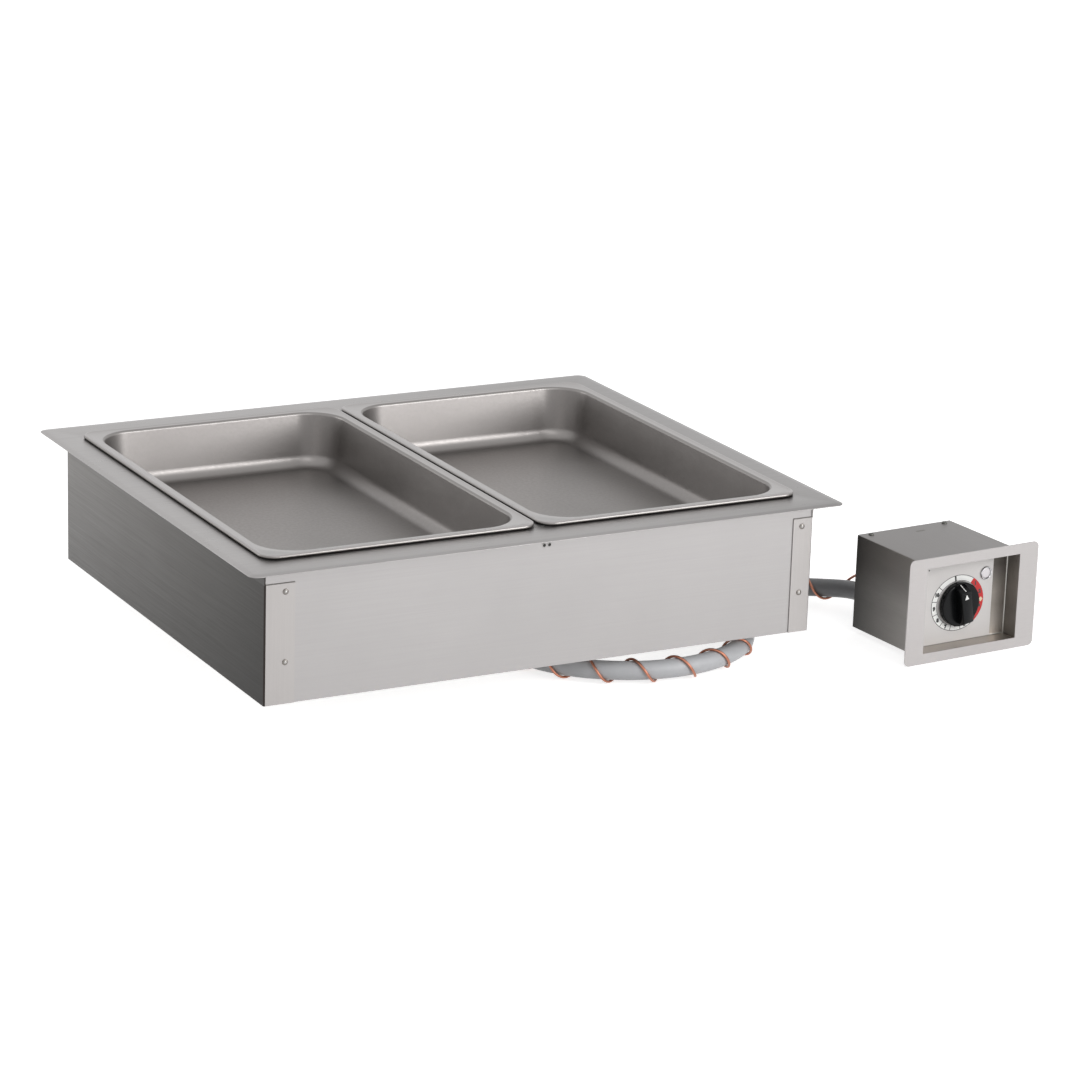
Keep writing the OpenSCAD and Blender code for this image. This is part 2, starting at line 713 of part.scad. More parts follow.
module conduit_elbow() {
    gland_y = conduit_route[0][1] + gland_lip;
    bend_z = conduit_z + elbow_bend_r;
    color(galvanised) {
        translate([elbow_x, elbow_y, -casing_h]) cylinder(h = fitting_thread_l, d = fitting_thread_d);
        translate([elbow_x, elbow_y, -casing_h - shoulder_h])
            cylinder(h = shoulder_h, d = fitting_flats / cos(30), $fn = 6);
        translate([elbow_x, elbow_y, bend_z])
            cylinder(h = -casing_h - shoulder_h - bend_z, d = fitting_body_d);
        translate([elbow_x, elbow_y - elbow_bend_r, bend_z])
            rotate([0, 90, 0]) rotate_extrude(angle = 90)
                translate([elbow_bend_r, 0]) circle(d = fitting_body_d);
        rod_y(elbow_x, conduit_z, gland_y + gland_l, elbow_y - elbow_bend_r, fitting_body_d);
        hexagon_y(elbow_x, conduit_z, gland_y, gland_y + gland_l, fitting_flats);
        rod_y(elbow_x, conduit_z, gland_y - gland_lip + conduit_end_clear, gland_y, fitting_body_d + 1);
    }
}

module elbow_locknut() {
    color(galvanised) translate([elbow_x, elbow_y, sheet_t - casing_h]) difference() {
        cylinder(h = locknut_h, d = fitting_flats / cos(30), $fn = 6);
        translate([0, 0, -over])
            cylinder(h = locknut_h + 2 * over, d = fitting_thread_d + thread_clear / 2);
    }
}

module conduit() {
    rings = 78;
    path = [for (i = [0:rings - 1]) on_route(conduit_last * i / (rings - 1))];
    color([0.66, 0.69, 0.72]) tube(path, conduit_r, 12, [0, 0, 1]);
}

// Distance run along the conduit, as pairs of distance and place on the route
steps_per_point = 8;
run_steps = conduit_last * steps_per_point;
run_table = [for (i = 0, s = 0; i <= run_steps;
                  s = s + norm(on_route((i + 1) / steps_per_point) - on_route(i / steps_per_point)),
                  i = i + 1)
    [s, i / steps_per_point]];
conduit_l = run_table[run_steps][0];

// The capillary on the conduit at a distance run, wound round it
winding_start = 34;
winding_end = conduit_l - 66;
winding_phase = 200;
function wound(s) =
    let (u = lookup(s, run_table), h = route_heading(u), side = unit(cross(h, [0, 0, 1])),
         up = cross(side, h), a = winding_phase - 360 * s / capillary_pitch)
    on_route(u) + winding_r * (cos(a) * side + sin(a) * up);

function box_to_world(p) = [
    box_x + p[0] * cos(box_yaw) - p[1] * sin(box_yaw),
    box_y + p[0] * sin(box_yaw) + p[1] * cos(box_yaw),
    box_z + p[2]
];
capillary_steps = round((winding_end - winding_start) / capillary_pitch * 16);
capillary_winding = [for (i = [0:capillary_steps])
    wound(winding_start + (winding_end - winding_start) * i / capillary_steps)];
winding_enters = wound(winding_start + 1) - wound(winding_start);
winding_leaves = wound(winding_end) - wound(winding_end - 1);
capillary_drop = [grommet_x, grommet_y, -casing_h - 8];
capillary_rise = [grommet_x, grommet_y, -casing_h + 14];
capillary_bulb = [bulb_x + bulb_l, bulb_y, bulb_z];
box_approach = box_to_world([connector_x, mouth_y + 6, box_grommet_z]);
box_inward = unit(box_to_world([0, -1, 0]) - box_to_world([0, 0, 0]));
capillary_inside = box_to_world([connector_x, thermostat_y + thermostat_d, box_grommet_z]);
capillary_path = concat(
    [capillary_bulb, capillary_bulb + [6, 0, 0]],
    link(capillary_bulb + [6, 0, 0], [9, 0, 0], capillary_rise, [0, 0, -9], 6),
    [capillary_rise, capillary_drop],
    link(capillary_drop, [0, 0, -14], capillary_winding[0], 14 * unit(winding_enters), 8),
    capillary_winding,
    link(wound(winding_end), 24 * unit(winding_leaves), box_approach, 20 * box_inward, 10),
    [box_approach, capillary_inside]
);

// The least room between two turns of the capillary, measured on its points
capillary_gap = min([for (i = [0:2:capillary_steps]) for (j = [i + 10:2:capillary_steps])
    norm(capillary_winding[i] - capillary_winding[j])]) - capillary_d;
echo(conduit_length = conduit_l, capillary_least_gap = capillary_gap);

module capillary_tube() {
    color(copper) tube(capillary_path, capillary_d / 2, 6, [0, 1, 0]);
}

module grommet(t) {
    difference() {
        union() {
            translate([0, 0, -grommet_lip_t]) cylinder(h = grommet_lip_t, d = grommet_d);
            translate([0, 0, -over / 2]) cylinder(h = t + over, d = grommet_groove_d);
            translate([0, 0, t]) cylinder(h = grommet_lip_t, d = grommet_d);
        }
        translate([0, 0, -grommet_lip_t - over])
            cylinder(h = t + 2 * (grommet_lip_t + over), d = capillary_d + 2 * grommet_clear);
    }
}

module capillary_grommets() {
    color(black) {
        translate([grommet_x, grommet_y, -casing_h]) grommet(sheet_t);
        at_box() translate([connector_x, back_y, box_grommet_z]) rotate([90, 0, 0]) grommet(housing_t);
    }
}

module box_connector() {
    body_from = back_y + connector_shoulder;
    gland_from = body_from + connector_neck;
    color(galvanised) at_box() {
        rod_y(connector_x, connector_z, back_y - fitting_thread_l, back_y, fitting_thread_d);
        hexagon_y(connector_x, connector_z, back_y, body_from, fitting_flats);
        rod_y(connector_x, connector_z, body_from, gland_from, fitting_body_d);
        hexagon_y(connector_x, connector_z, gland_from, mouth_y - gland_lip, fitting_flats);
        rod_y(connector_x, connector_z, mouth_y - gland_lip, mouth_y - conduit_end_clear, fitting_body_d + 1);
    }
}

module connector_locknut() {
    nut_y = back_y - housing_t - locknut_h;
    color(galvanised) at_box() difference() {
        hexagon_y(connector_x, connector_z, nut_y, nut_y + locknut_h, fitting_flats);
        rod_y(connector_x, connector_z, nut_y - over, nut_y + locknut_h + over,
              fitting_thread_d + thread_clear / 2);
    }
}

// Control box

module control_bezel() {
    color(steel) at_box() difference() {
        translate([bezel_w / 2, bezel_t, bezel_h / 2]) rotate([90, 0, 0])
            linear_extrude(bezel_t) rounded(bezel_w, bezel_h, bezel_r);
        block([opening_left, -over, opening_low],
              [opening_left + opening_w, bezel_t + over, opening_low + opening_h]);
        block([housing_left - sheet_clear, housing_front, housing_low - sheet_clear],
              [housing_left + housing_w + sheet_clear, bezel_t + over, housing_top + sheet_clear]);
    }
}

module cover_screw_places() {
    for (x = [housing_left + screw_inset, housing_left + housing_w - screw_inset])
        for (end = [-1, 1])
            translate([x, back_y - cover_flange / 2, end > 0 ? housing_top : housing_low])
                rotate([end > 0 ? 0 : 180, 0, 0]) children();
}

module control_housing() {
    color([0.55, 0.54, 0.53]) at_box() difference() {
        block([housing_left, housing_front, housing_low],
              [housing_left + housing_w, back_y, housing_top]);
        block([housing_left + housing_t, housing_front - over, housing_low + housing_t],
              [housing_left + housing_w - housing_t, back_y + over, housing_top - housing_t]);
        cover_screw_places() cylinder(h = 6 * housing_t, d = screw_d + 2 * screw_clear, center = true);
        translate([housing_left + housing_w / 2 - slot_l / 2, back_y - 8, housing_top - 2 * housing_t])
            cube([slot_l, 2, 3 * housing_t]);
    }
}

// The back of the housing: a sheet with a flange forward along its top and bottom
module housing_back_cover() {
    room = housing_t + sheet_clear;
    x0 = housing_left + room;
    x1 = housing_left + housing_w - room;
    z0 = housing_low + room;
    z1 = housing_top - room;
    color([0.55, 0.54, 0.53]) at_box() difference() {
        block([x0, back_y - cover_flange, z0], [x1, back_y, z1]);
        block([x0 - over, back_y - cover_flange - over, z0 + housing_t],
              [x1 + over, back_y - housing_t, z1 - housing_t]);
        rod_y(connector_x, connector_z, back_y - housing_t - over, back_y + over,
              fitting_thread_d + 2 * thread_clear);
        rod_y(connector_x, box_grommet_z, back_y - housing_t - over, back_y + over, grommet_hole_d);
        cover_screw_places() cylinder(h = 6 * housing_t, d = screw_d + 2 * screw_clear, center = true);
    }
}

module cover_screws() {
    color(dark_steel) at_box() cover_screw_places() {
        cylinder(h = screw_head_h, d1 = screw_head_d, d2 = screw_head_d * 0.75);
        translate([0, 0, -5]) cylinder(h = 5 + over / 2, d = screw_d);
    }
}

// A channel whose web carries the dial and whose flanges reach forward to the bezel
module control_faceplate() {
    room = 0.2;
    color(steel) at_box() difference() {
        block([opening_left + room, housing_front, opening_low - housing_t],
              [opening_left + opening_w - room, recess + housing_t, opening_low + opening_h + housing_t]);
        block([opening_left - over, housing_front - over, opening_low],
              [opening_left + opening_w + over, recess, opening_low + opening_h]);
        rod_y(knob_x, knob_z, recess - over, recess + housing_t + over, spindle_hole_d);
        rod_y(light_x, light_z, recess - over, recess + housing_t + over, light_hole_d);
    }
}

module dial_plate() {
    color([0.85, 0.85, 0.84]) at_box() difference() {
        block([opening_left + dial_margin, dial_y, opening_low + dial_margin],
              [opening_left + dial_margin + dial_w, recess, opening_low + opening_h - dial_margin]);
        rod_y(knob_x, knob_z, dial_y - over, recess + over, spindle_hole_d);
        rod_y(light_x, light_z, dial_y - over, recess + over, light_hole_d);
    }
}

// Knob: a round disc with a bar grip, whose nose slopes down at the pointer's end
module control_knob() {
    color(black) at_box() translate([knob_x, knob_back_y, knob_z]) rotate([90, 0, 0]) difference() {
        union() {
            cylinder(h = knob_disc_h - 1, d = knob_d);
            translate([0, 0, knob_disc_h - 1]) cylinder(h = 1, d1 = knob_d, d2 = knob_d - 3);
            intersection() {
                translate([-grip_w / 2, 0, 0]) rotate([90, 0, 90]) linear_extrude(grip_w)
                    polygon([[-grip_l / 2, knob_disc_h - 1], [grip_l / 2, knob_disc_h - 1],
                             [grip_l / 2, knob_disc_h + 3], [grip_l / 2 - 9, knob_h],
                             [3 - grip_l / 2, knob_h], [-grip_l / 2, knob_h - 4]]);
                cylinder(h = knob_h + over, d = grip_l + 1);
            }
        }
        translate([0, 0, -over]) cylinder(h = knob_bore_l + over, d = spindle_d + 2 * spindle_clear);
    }
}

module thermostat_spindle() {
    color(galvanised) at_box()
        rod_y(knob_x, knob_z, knob_back_y - knob_bore_l, thermostat_y + spindle_seat, spindle_d);
}

module thermostat_body() {
    color([0.30, 0.28, 0.26]) at_box() difference() {
        block([thermostat_x, thermostat_y, thermostat_z],
              [thermostat_x + thermostat_w, thermostat_y + thermostat_d, thermostat_z + thermostat_h]);
        rod_y(knob_x, knob_z, thermostat_y - over, thermostat_y + spindle_seat + spindle_clear,
              spindle_d + 2 * spindle_clear);
    }
}

module indicator_lens() {
    lens_h = 1.5;
    color([0.95, 0.93, 0.88]) at_box()
        translate([light_x, dial_y, light_z]) rotate([90, 0, 0])
            cylinder(h = lens_h, d1 = light_lens_d, d2 = light_lens_d - 2);
}

module indicator_ring() {
    ring_h = 2;
    color(galvanised) at_box() difference() {
        translate([light_x, dial_y, light_z]) rotate([90, 0, 0])
            cylinder(h = ring_h, d1 = light_ring_d, d2 = light_ring_d - 1.5);
        rod_y(light_x, light_z, dial_y - ring_h - over, dial_y + over, light_lens_d + 0.4);
    }
}

module indicator_body() {
    body_l = 22;
    color([0.80, 0.78, 0.72]) at_box() {
        rod_y(light_x, light_z, dial_y, recess + housing_t + body_l, light_lens_d - 2);
        rod_y(light_x, light_z, recess + housing_t, recess + housing_t + 3, light_ring_d);
    }
}

// A two-row terminal block on the housing's floor, its wells open at the top
module terminal_block() {
    w = 46;
    d = 22;
    h = 16;
    x = housing_left + housing_w - housing_t - w - 12;
    y = back_y - housing_d / 2;
    z = housing_low + housing_t;
    color([0.88, 0.86, 0.80]) at_box() difference() {
        block([x, y, z], [x + w, y + d, z + h]);
        for (i = [0:3], row = [0, 1])
            translate([x + w * (i + 0.5) / 4, y + d * (row + 0.5) / 2, z + h - 6])
                cylinder(h = 7, d = 6);
    }
}

deck_flange();
well_liner();
divider_supports();
divider_bar();
left_pan();
left_pan_rim();
right_pan();
right_pan_rim();
heating_cable();
insulation_wrap();
insulation_base();
front_panel();
back_panel();
left_side_panel();
right_side_panel();
bottom_panel();
panel_rivets();
thermostat_bulb();
bulb_clip();
conduit_elbow();
elbow_locknut();
conduit();
capillary_tube();
capillary_grommets();
box_connector();
connector_locknut();
control_bezel();
control_housing();
housing_back_cover();
cover_screws();
control_faceplate();
dial_plate();
control_knob();
thermostat_spindle();
thermostat_body();
indicator_lens();
indicator_ring();
indicator_body();
terminal_block();
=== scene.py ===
import math

import bmesh
import bpy
from mathutils import Matrix, Vector


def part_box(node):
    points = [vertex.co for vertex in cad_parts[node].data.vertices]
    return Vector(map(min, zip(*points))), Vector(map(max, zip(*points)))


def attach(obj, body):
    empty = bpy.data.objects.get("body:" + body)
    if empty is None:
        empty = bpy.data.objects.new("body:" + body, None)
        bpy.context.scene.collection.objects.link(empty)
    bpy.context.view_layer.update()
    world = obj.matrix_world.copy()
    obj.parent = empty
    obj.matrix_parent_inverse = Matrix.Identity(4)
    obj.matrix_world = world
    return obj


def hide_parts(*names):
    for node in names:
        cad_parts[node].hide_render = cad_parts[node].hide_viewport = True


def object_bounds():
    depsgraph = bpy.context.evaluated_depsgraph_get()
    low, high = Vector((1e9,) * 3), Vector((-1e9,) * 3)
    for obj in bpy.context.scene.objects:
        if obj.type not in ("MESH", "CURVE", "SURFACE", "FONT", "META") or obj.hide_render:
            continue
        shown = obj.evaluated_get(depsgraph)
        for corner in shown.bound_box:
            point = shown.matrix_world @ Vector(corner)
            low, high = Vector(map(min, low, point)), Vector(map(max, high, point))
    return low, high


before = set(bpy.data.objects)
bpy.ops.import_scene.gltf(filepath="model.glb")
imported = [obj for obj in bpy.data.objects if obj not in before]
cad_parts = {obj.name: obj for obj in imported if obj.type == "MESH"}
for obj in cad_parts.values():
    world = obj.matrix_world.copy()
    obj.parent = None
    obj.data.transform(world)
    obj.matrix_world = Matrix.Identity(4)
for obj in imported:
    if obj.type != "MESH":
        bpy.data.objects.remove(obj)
cad_low, cad_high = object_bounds()
scene = bpy.context.scene
MM = 0.001

# The camera, solved from the corners of the deck and the casing in the photograph
CAMERA_PLACE = (-1.8673, -3.7352, 1.1831)
CAMERA_TURN = (73.131, -1.718, -27.737)
CAMERA_LENS = 127.79
FLOOR_HALF, FLOOR_GAP = 14, 0.0005

# How bright the background is where it lights the part and where it is seen, and the floor's own
# glow where it is seen
WORLD_LIGHT, WORLD_SEEN, FLOOR_GLOW = 0.45, 1.0, 0.72
LAMPS_AIM = (0.1, 0, -0.05)

# The conduit's route from the elbow to the control box, in millimetres
CONDUIT_ROUTE = [
    (305, -148, -174), (305, -169, -174), (303, -192, -174), (292, -219, -174),
    (266, -247, -174), (228, -269, -174), (184, -279, -174), (139, -276, -174),
    (96, -260, -174), (60, -233, -174), (35, -195, -174), (23, -151, -174),
    (28, -104, -174), (46, -62, -174), (76, -28, -174), (114, -4, -174),
    (158, 9, -174), (204, 12, -174), (250, 7, -174), (295, -5, -174),
    (338, -23, -174), (379, -44, -173), (414, -68, -171), (445, -94, -168),
    (467, -118, -165), (479, -142, -161), (482.5, -164, -160), (484, -185, -160),
]
CONDUIT_D = 21.3
CAPILLARY_D = 3
WINDING_R = CONDUIT_D / 2 + 0.5 + CAPILLARY_D / 2
WINDING_PITCH = 50
WINDING_START = 34
WINDING_END_REST = 66
WINDING_PHASE = 200
BULB_END = (250, -112, -116)
GROMMET_FROM_ELBOW = (-31, 14)

# Control box: the bezel's front lower left corner, and places in the box's own millimetres
BOX_ORIGIN = (425.7362, -340.9442, -188)
BOX_YAW = 4
KNOB_X, KNOB_Z, KNOB_BACK = 86.3, 57.8, 20.3
KNOB_TURN = 10
DIAL_WIDE = 1.12
LIGHT_X, LIGHT_Z = 124.7, 88.1
DIAL_FRONT = 21.1
MOUTH_Y, CONNECTOR_X, GROMMET_Z = 151.5, 69, 54
THERMOSTAT_BACK = 46.5
HOUSING_LOW, HOUSING_HIGH = (24, 1, 5.5), (157, 131.5, 116.5)
SCREW_XS, SCREW_Y = (38, 143), 124.5

WELL_W, WELL_D, WELL_R = 637.6, 516.6, 12

to_box = Matrix.Translation(Vector(BOX_ORIGIN)) @ Matrix.Rotation(math.radians(BOX_YAW), 4, "Z")


def camera_and_floor():
    data = bpy.data.cameras.new("camera")
    data.lens = CAMERA_LENS
    data.sensor_width = 36
    data.clip_end = 50
    camera = bpy.data.objects.new("camera", data)
    camera.location = CAMERA_PLACE
    camera.rotation_euler = [math.radians(a) for a in CAMERA_TURN]
    scene.collection.objects.link(camera)
    scene.camera = camera
    half, low = FLOOR_HALF, cad_low.z - FLOOR_GAP
    mesh = bpy.data.meshes.new("floor")
    corners = [(-half, -half, low), (half, -half, low), (half, half, low), (-half, half, low)]
    mesh.from_pydata(corners, [], [(0, 1, 2, 3)])
    floor = bpy.data.objects.new("floor", mesh)
    scene.collection.objects.link(floor)
    mesh.materials.append(floor_material())


# Light and background

def seen_ray(nodes, links):
    """1 for rays that see the background: camera, glossy and transmission rays."""
    path = nodes.new("ShaderNodeLightPath")
    last = path.outputs["Is Camera Ray"]
    for name in ("Is Glossy Ray", "Is Transmission Ray"):
        more = nodes.new("ShaderNodeMath")
        more.operation = "MAXIMUM"
        links.new(last, more.inputs[0])
        links.new(path.outputs[name], more.inputs[1])
        last = more.outputs[0]
    return last


def floor_material():
    material = bpy.data.materials.new("floor")
    material.use_nodes = True
    nodes, links = material.node_tree.nodes, material.node_tree.links
    shader = nodes["Principled BSDF"]
    shader.inputs["Base Color"].default_value = (0.86, 0.86, 0.86, 1)
    shader.inputs["Roughness"].default_value = 0.9
    shader.inputs["Specular IOR Level"].default_value = 0.1
    shader.inputs["Emission Color"].default_value = (1, 1, 1, 1)
    lift = nodes.new("ShaderNodeMath")
    lift.operation = "MULTIPLY"
    lift.inputs[1].default_value = FLOOR_GLOW
    links.new(seen_ray(nodes, links), lift.inputs[0])
    links.new(lift.outputs[0], shader.inputs["Emission Strength"])
    return material


def studio():
    world = bpy.data.worlds.new("studio")
    scene.world = world
    world.use_nodes = True
    nodes, links = world.node_tree.nodes, world.node_tree.links
    shader = nodes["Background"]
    shader.inputs["Color"].default_value = (1, 1, 1, 1)
    strength = nodes.new("ShaderNodeMapRange")
    strength.inputs["To Min"].default_value = WORLD_LIGHT
    strength.inputs["To Max"].default_value = WORLD_SEEN
    links.new(seen_ray(nodes, links), strength.inputs["Value"])
    links.new(strength.outputs["Result"], shader.inputs["Strength"])
    lamp("key_lamp", (1.9, -3.1, 1.2), 2.0, 70)
    lamp("fill_lamp", (-0.6, -3.0, 2.6), 2.0, 16)
    lamp("back_lamp", (-2.4, 2.2, 0.7), 1.2, 10)


def lamp(name, place, size, power):
    data = bpy.data.lights.new(name, "AREA")
    data.size = size
    data.energy = power
    light = bpy.data.objects.new(name, data)
    light.location = place
    aim = Vector(LAMPS_AIM) - Vector(place)
    light.rotation_euler = aim.to_track_quat("-Z", "Y").to_euler()
    scene.collection.objects.link(light)


# Materials

def new_material(name):
    material = bpy.data.materials.new(name)
    material.use_nodes = True
    nodes, links = material.node_tree.nodes, material.node_tree.links
    return material, nodes, links, nodes["Principled BSDF"]


def noise(nodes, links, frequency, detail, coords):
    """Noise whose frequency is given per metre along each axis."""
    spread = nodes.new("ShaderNodeMapping")
    spread.inputs["Scale"].default_value = frequency
    links.new(coords, spread.inputs["Vector"])
    texture = nodes.new("ShaderNodeTexNoise")
    texture.inputs["Scale"].default_value = 1
    texture.inputs["Detail"].default_value = detail
    texture.inputs["Roughness"].default_value = 0.6
    links.new(spread.outputs["Vector"], texture.inputs["Vector"])
    return texture.outputs["Fac"]


def varied(nodes, links, factor, low, high):
    """The factor's middle half spread from low to high, as a number."""
    spread = nodes.new("ShaderNodeMapRange")
    spread.inputs["From Min"].default_value = 0.25
    spread.inputs["From Max"].default_value = 0.75
    spread.inputs["To Min"].default_value = low
    spread.inputs["To Max"].default_value = high
    links.new(factor, spread.inputs["Value"])
    return spread.outputs["Result"]


def mixed(nodes, links, factor, first, second):
    """A mix of two colours; sockets 6 and 7 and output 2 are a mix node's colour ones."""
    mix = nodes.new("ShaderNodeMix")
    mix.data_type = "RGBA"
    links.new(factor, mix.inputs["Factor"])
    for value, socket in ((first, mix.inputs[6]), (second, mix.inputs[7])):
        if isinstance(value, tuple):
            socket.default_value = (*value, 1)
        else:
            links.new(value, socket)
    return mix.outputs[2]


def faded(nodes, links, coords, colour, axis, start, end, share_start, share_end):
    """The colour times a share that changes evenly between two places along an axis."""
    split = nodes.new("ShaderNodeSeparateXYZ")
    links.new(coords, split.inputs["Vector"])
    share = nodes.new("ShaderNodeMapRange")
    share.inputs["From Min"].default_value = start
    share.inputs["From Max"].default_value = end
    share.inputs["To Min"].default_value = share_start
    share.inputs["To Max"].default_value = share_end
    links.new(split.outputs[axis], share.inputs["Value"])
    scaled = nodes.new("ShaderNodeVectorMath")
    scaled.operation = "SCALE"
    links.new(colour, scaled.inputs["Vector"])
    links.new(share.outputs["Result"], scaled.inputs["Scale"])
    return scaled.outputs["Vector"]


def surface(name, colour, rough, grain, metallic=0.0, mottle=0.06, rough_spread=0.06, bump=0.00004,
            coat=0.0, shine=0.5, fades=()):
    """A surface with a fine grain, broad patches and a bump from the grain.

    The grain is a frequency per metre along each axis, and the bump is in metres. Each fade is
    an axis, two places along it in metres and the share of the colour at each.
    """
    material, nodes, links, shader = new_material(name)
    coords = nodes.new("ShaderNodeTexCoord").outputs["Object"]
    fine = noise(nodes, links, grain, 4, coords)
    broad = noise(nodes, links, (7, 7, 7), 3, coords)
    darker = tuple(c * (1 - mottle) for c in colour)
    lighter = tuple(min(c * (1 + mottle), 1) for c in colour)
    patches = mixed(nodes, links, varied(nodes, links, broad, 0, 1), darker, lighter)
    grained = mixed(nodes, links, varied(nodes, links, fine, 0, 0.5), patches, darker)
    for fade in fades:
        grained = faded(nodes, links, coords, grained, *fade)
    links.new(grained, shader.inputs["Base Color"])
    roughness = nodes.new("ShaderNodeMath")
    roughness.operation = "ADD"
    finely = varied(nodes, links, fine, rough - rough_spread, rough + rough_spread)
    links.new(finely, roughness.inputs[0])
    links.new(varied(nodes, links, broad, -0.03, 0.03), roughness.inputs[1])
    links.new(roughness.outputs[0], shader.inputs["Roughness"])
    relief = nodes.new("ShaderNodeBump")
    relief.inputs["Strength"].default_value = 1
    relief.inputs["Distance"].default_value = bump
    links.new(fine, relief.inputs["Height"])
    links.new(relief.outputs["Normal"], shader.inputs["Normal"])
    shader.inputs["Metallic"].default_value = metallic
    shader.inputs["Coat Weight"].default_value = coat
    shader.inputs["Specular IOR Level"].default_value = shine
    return material


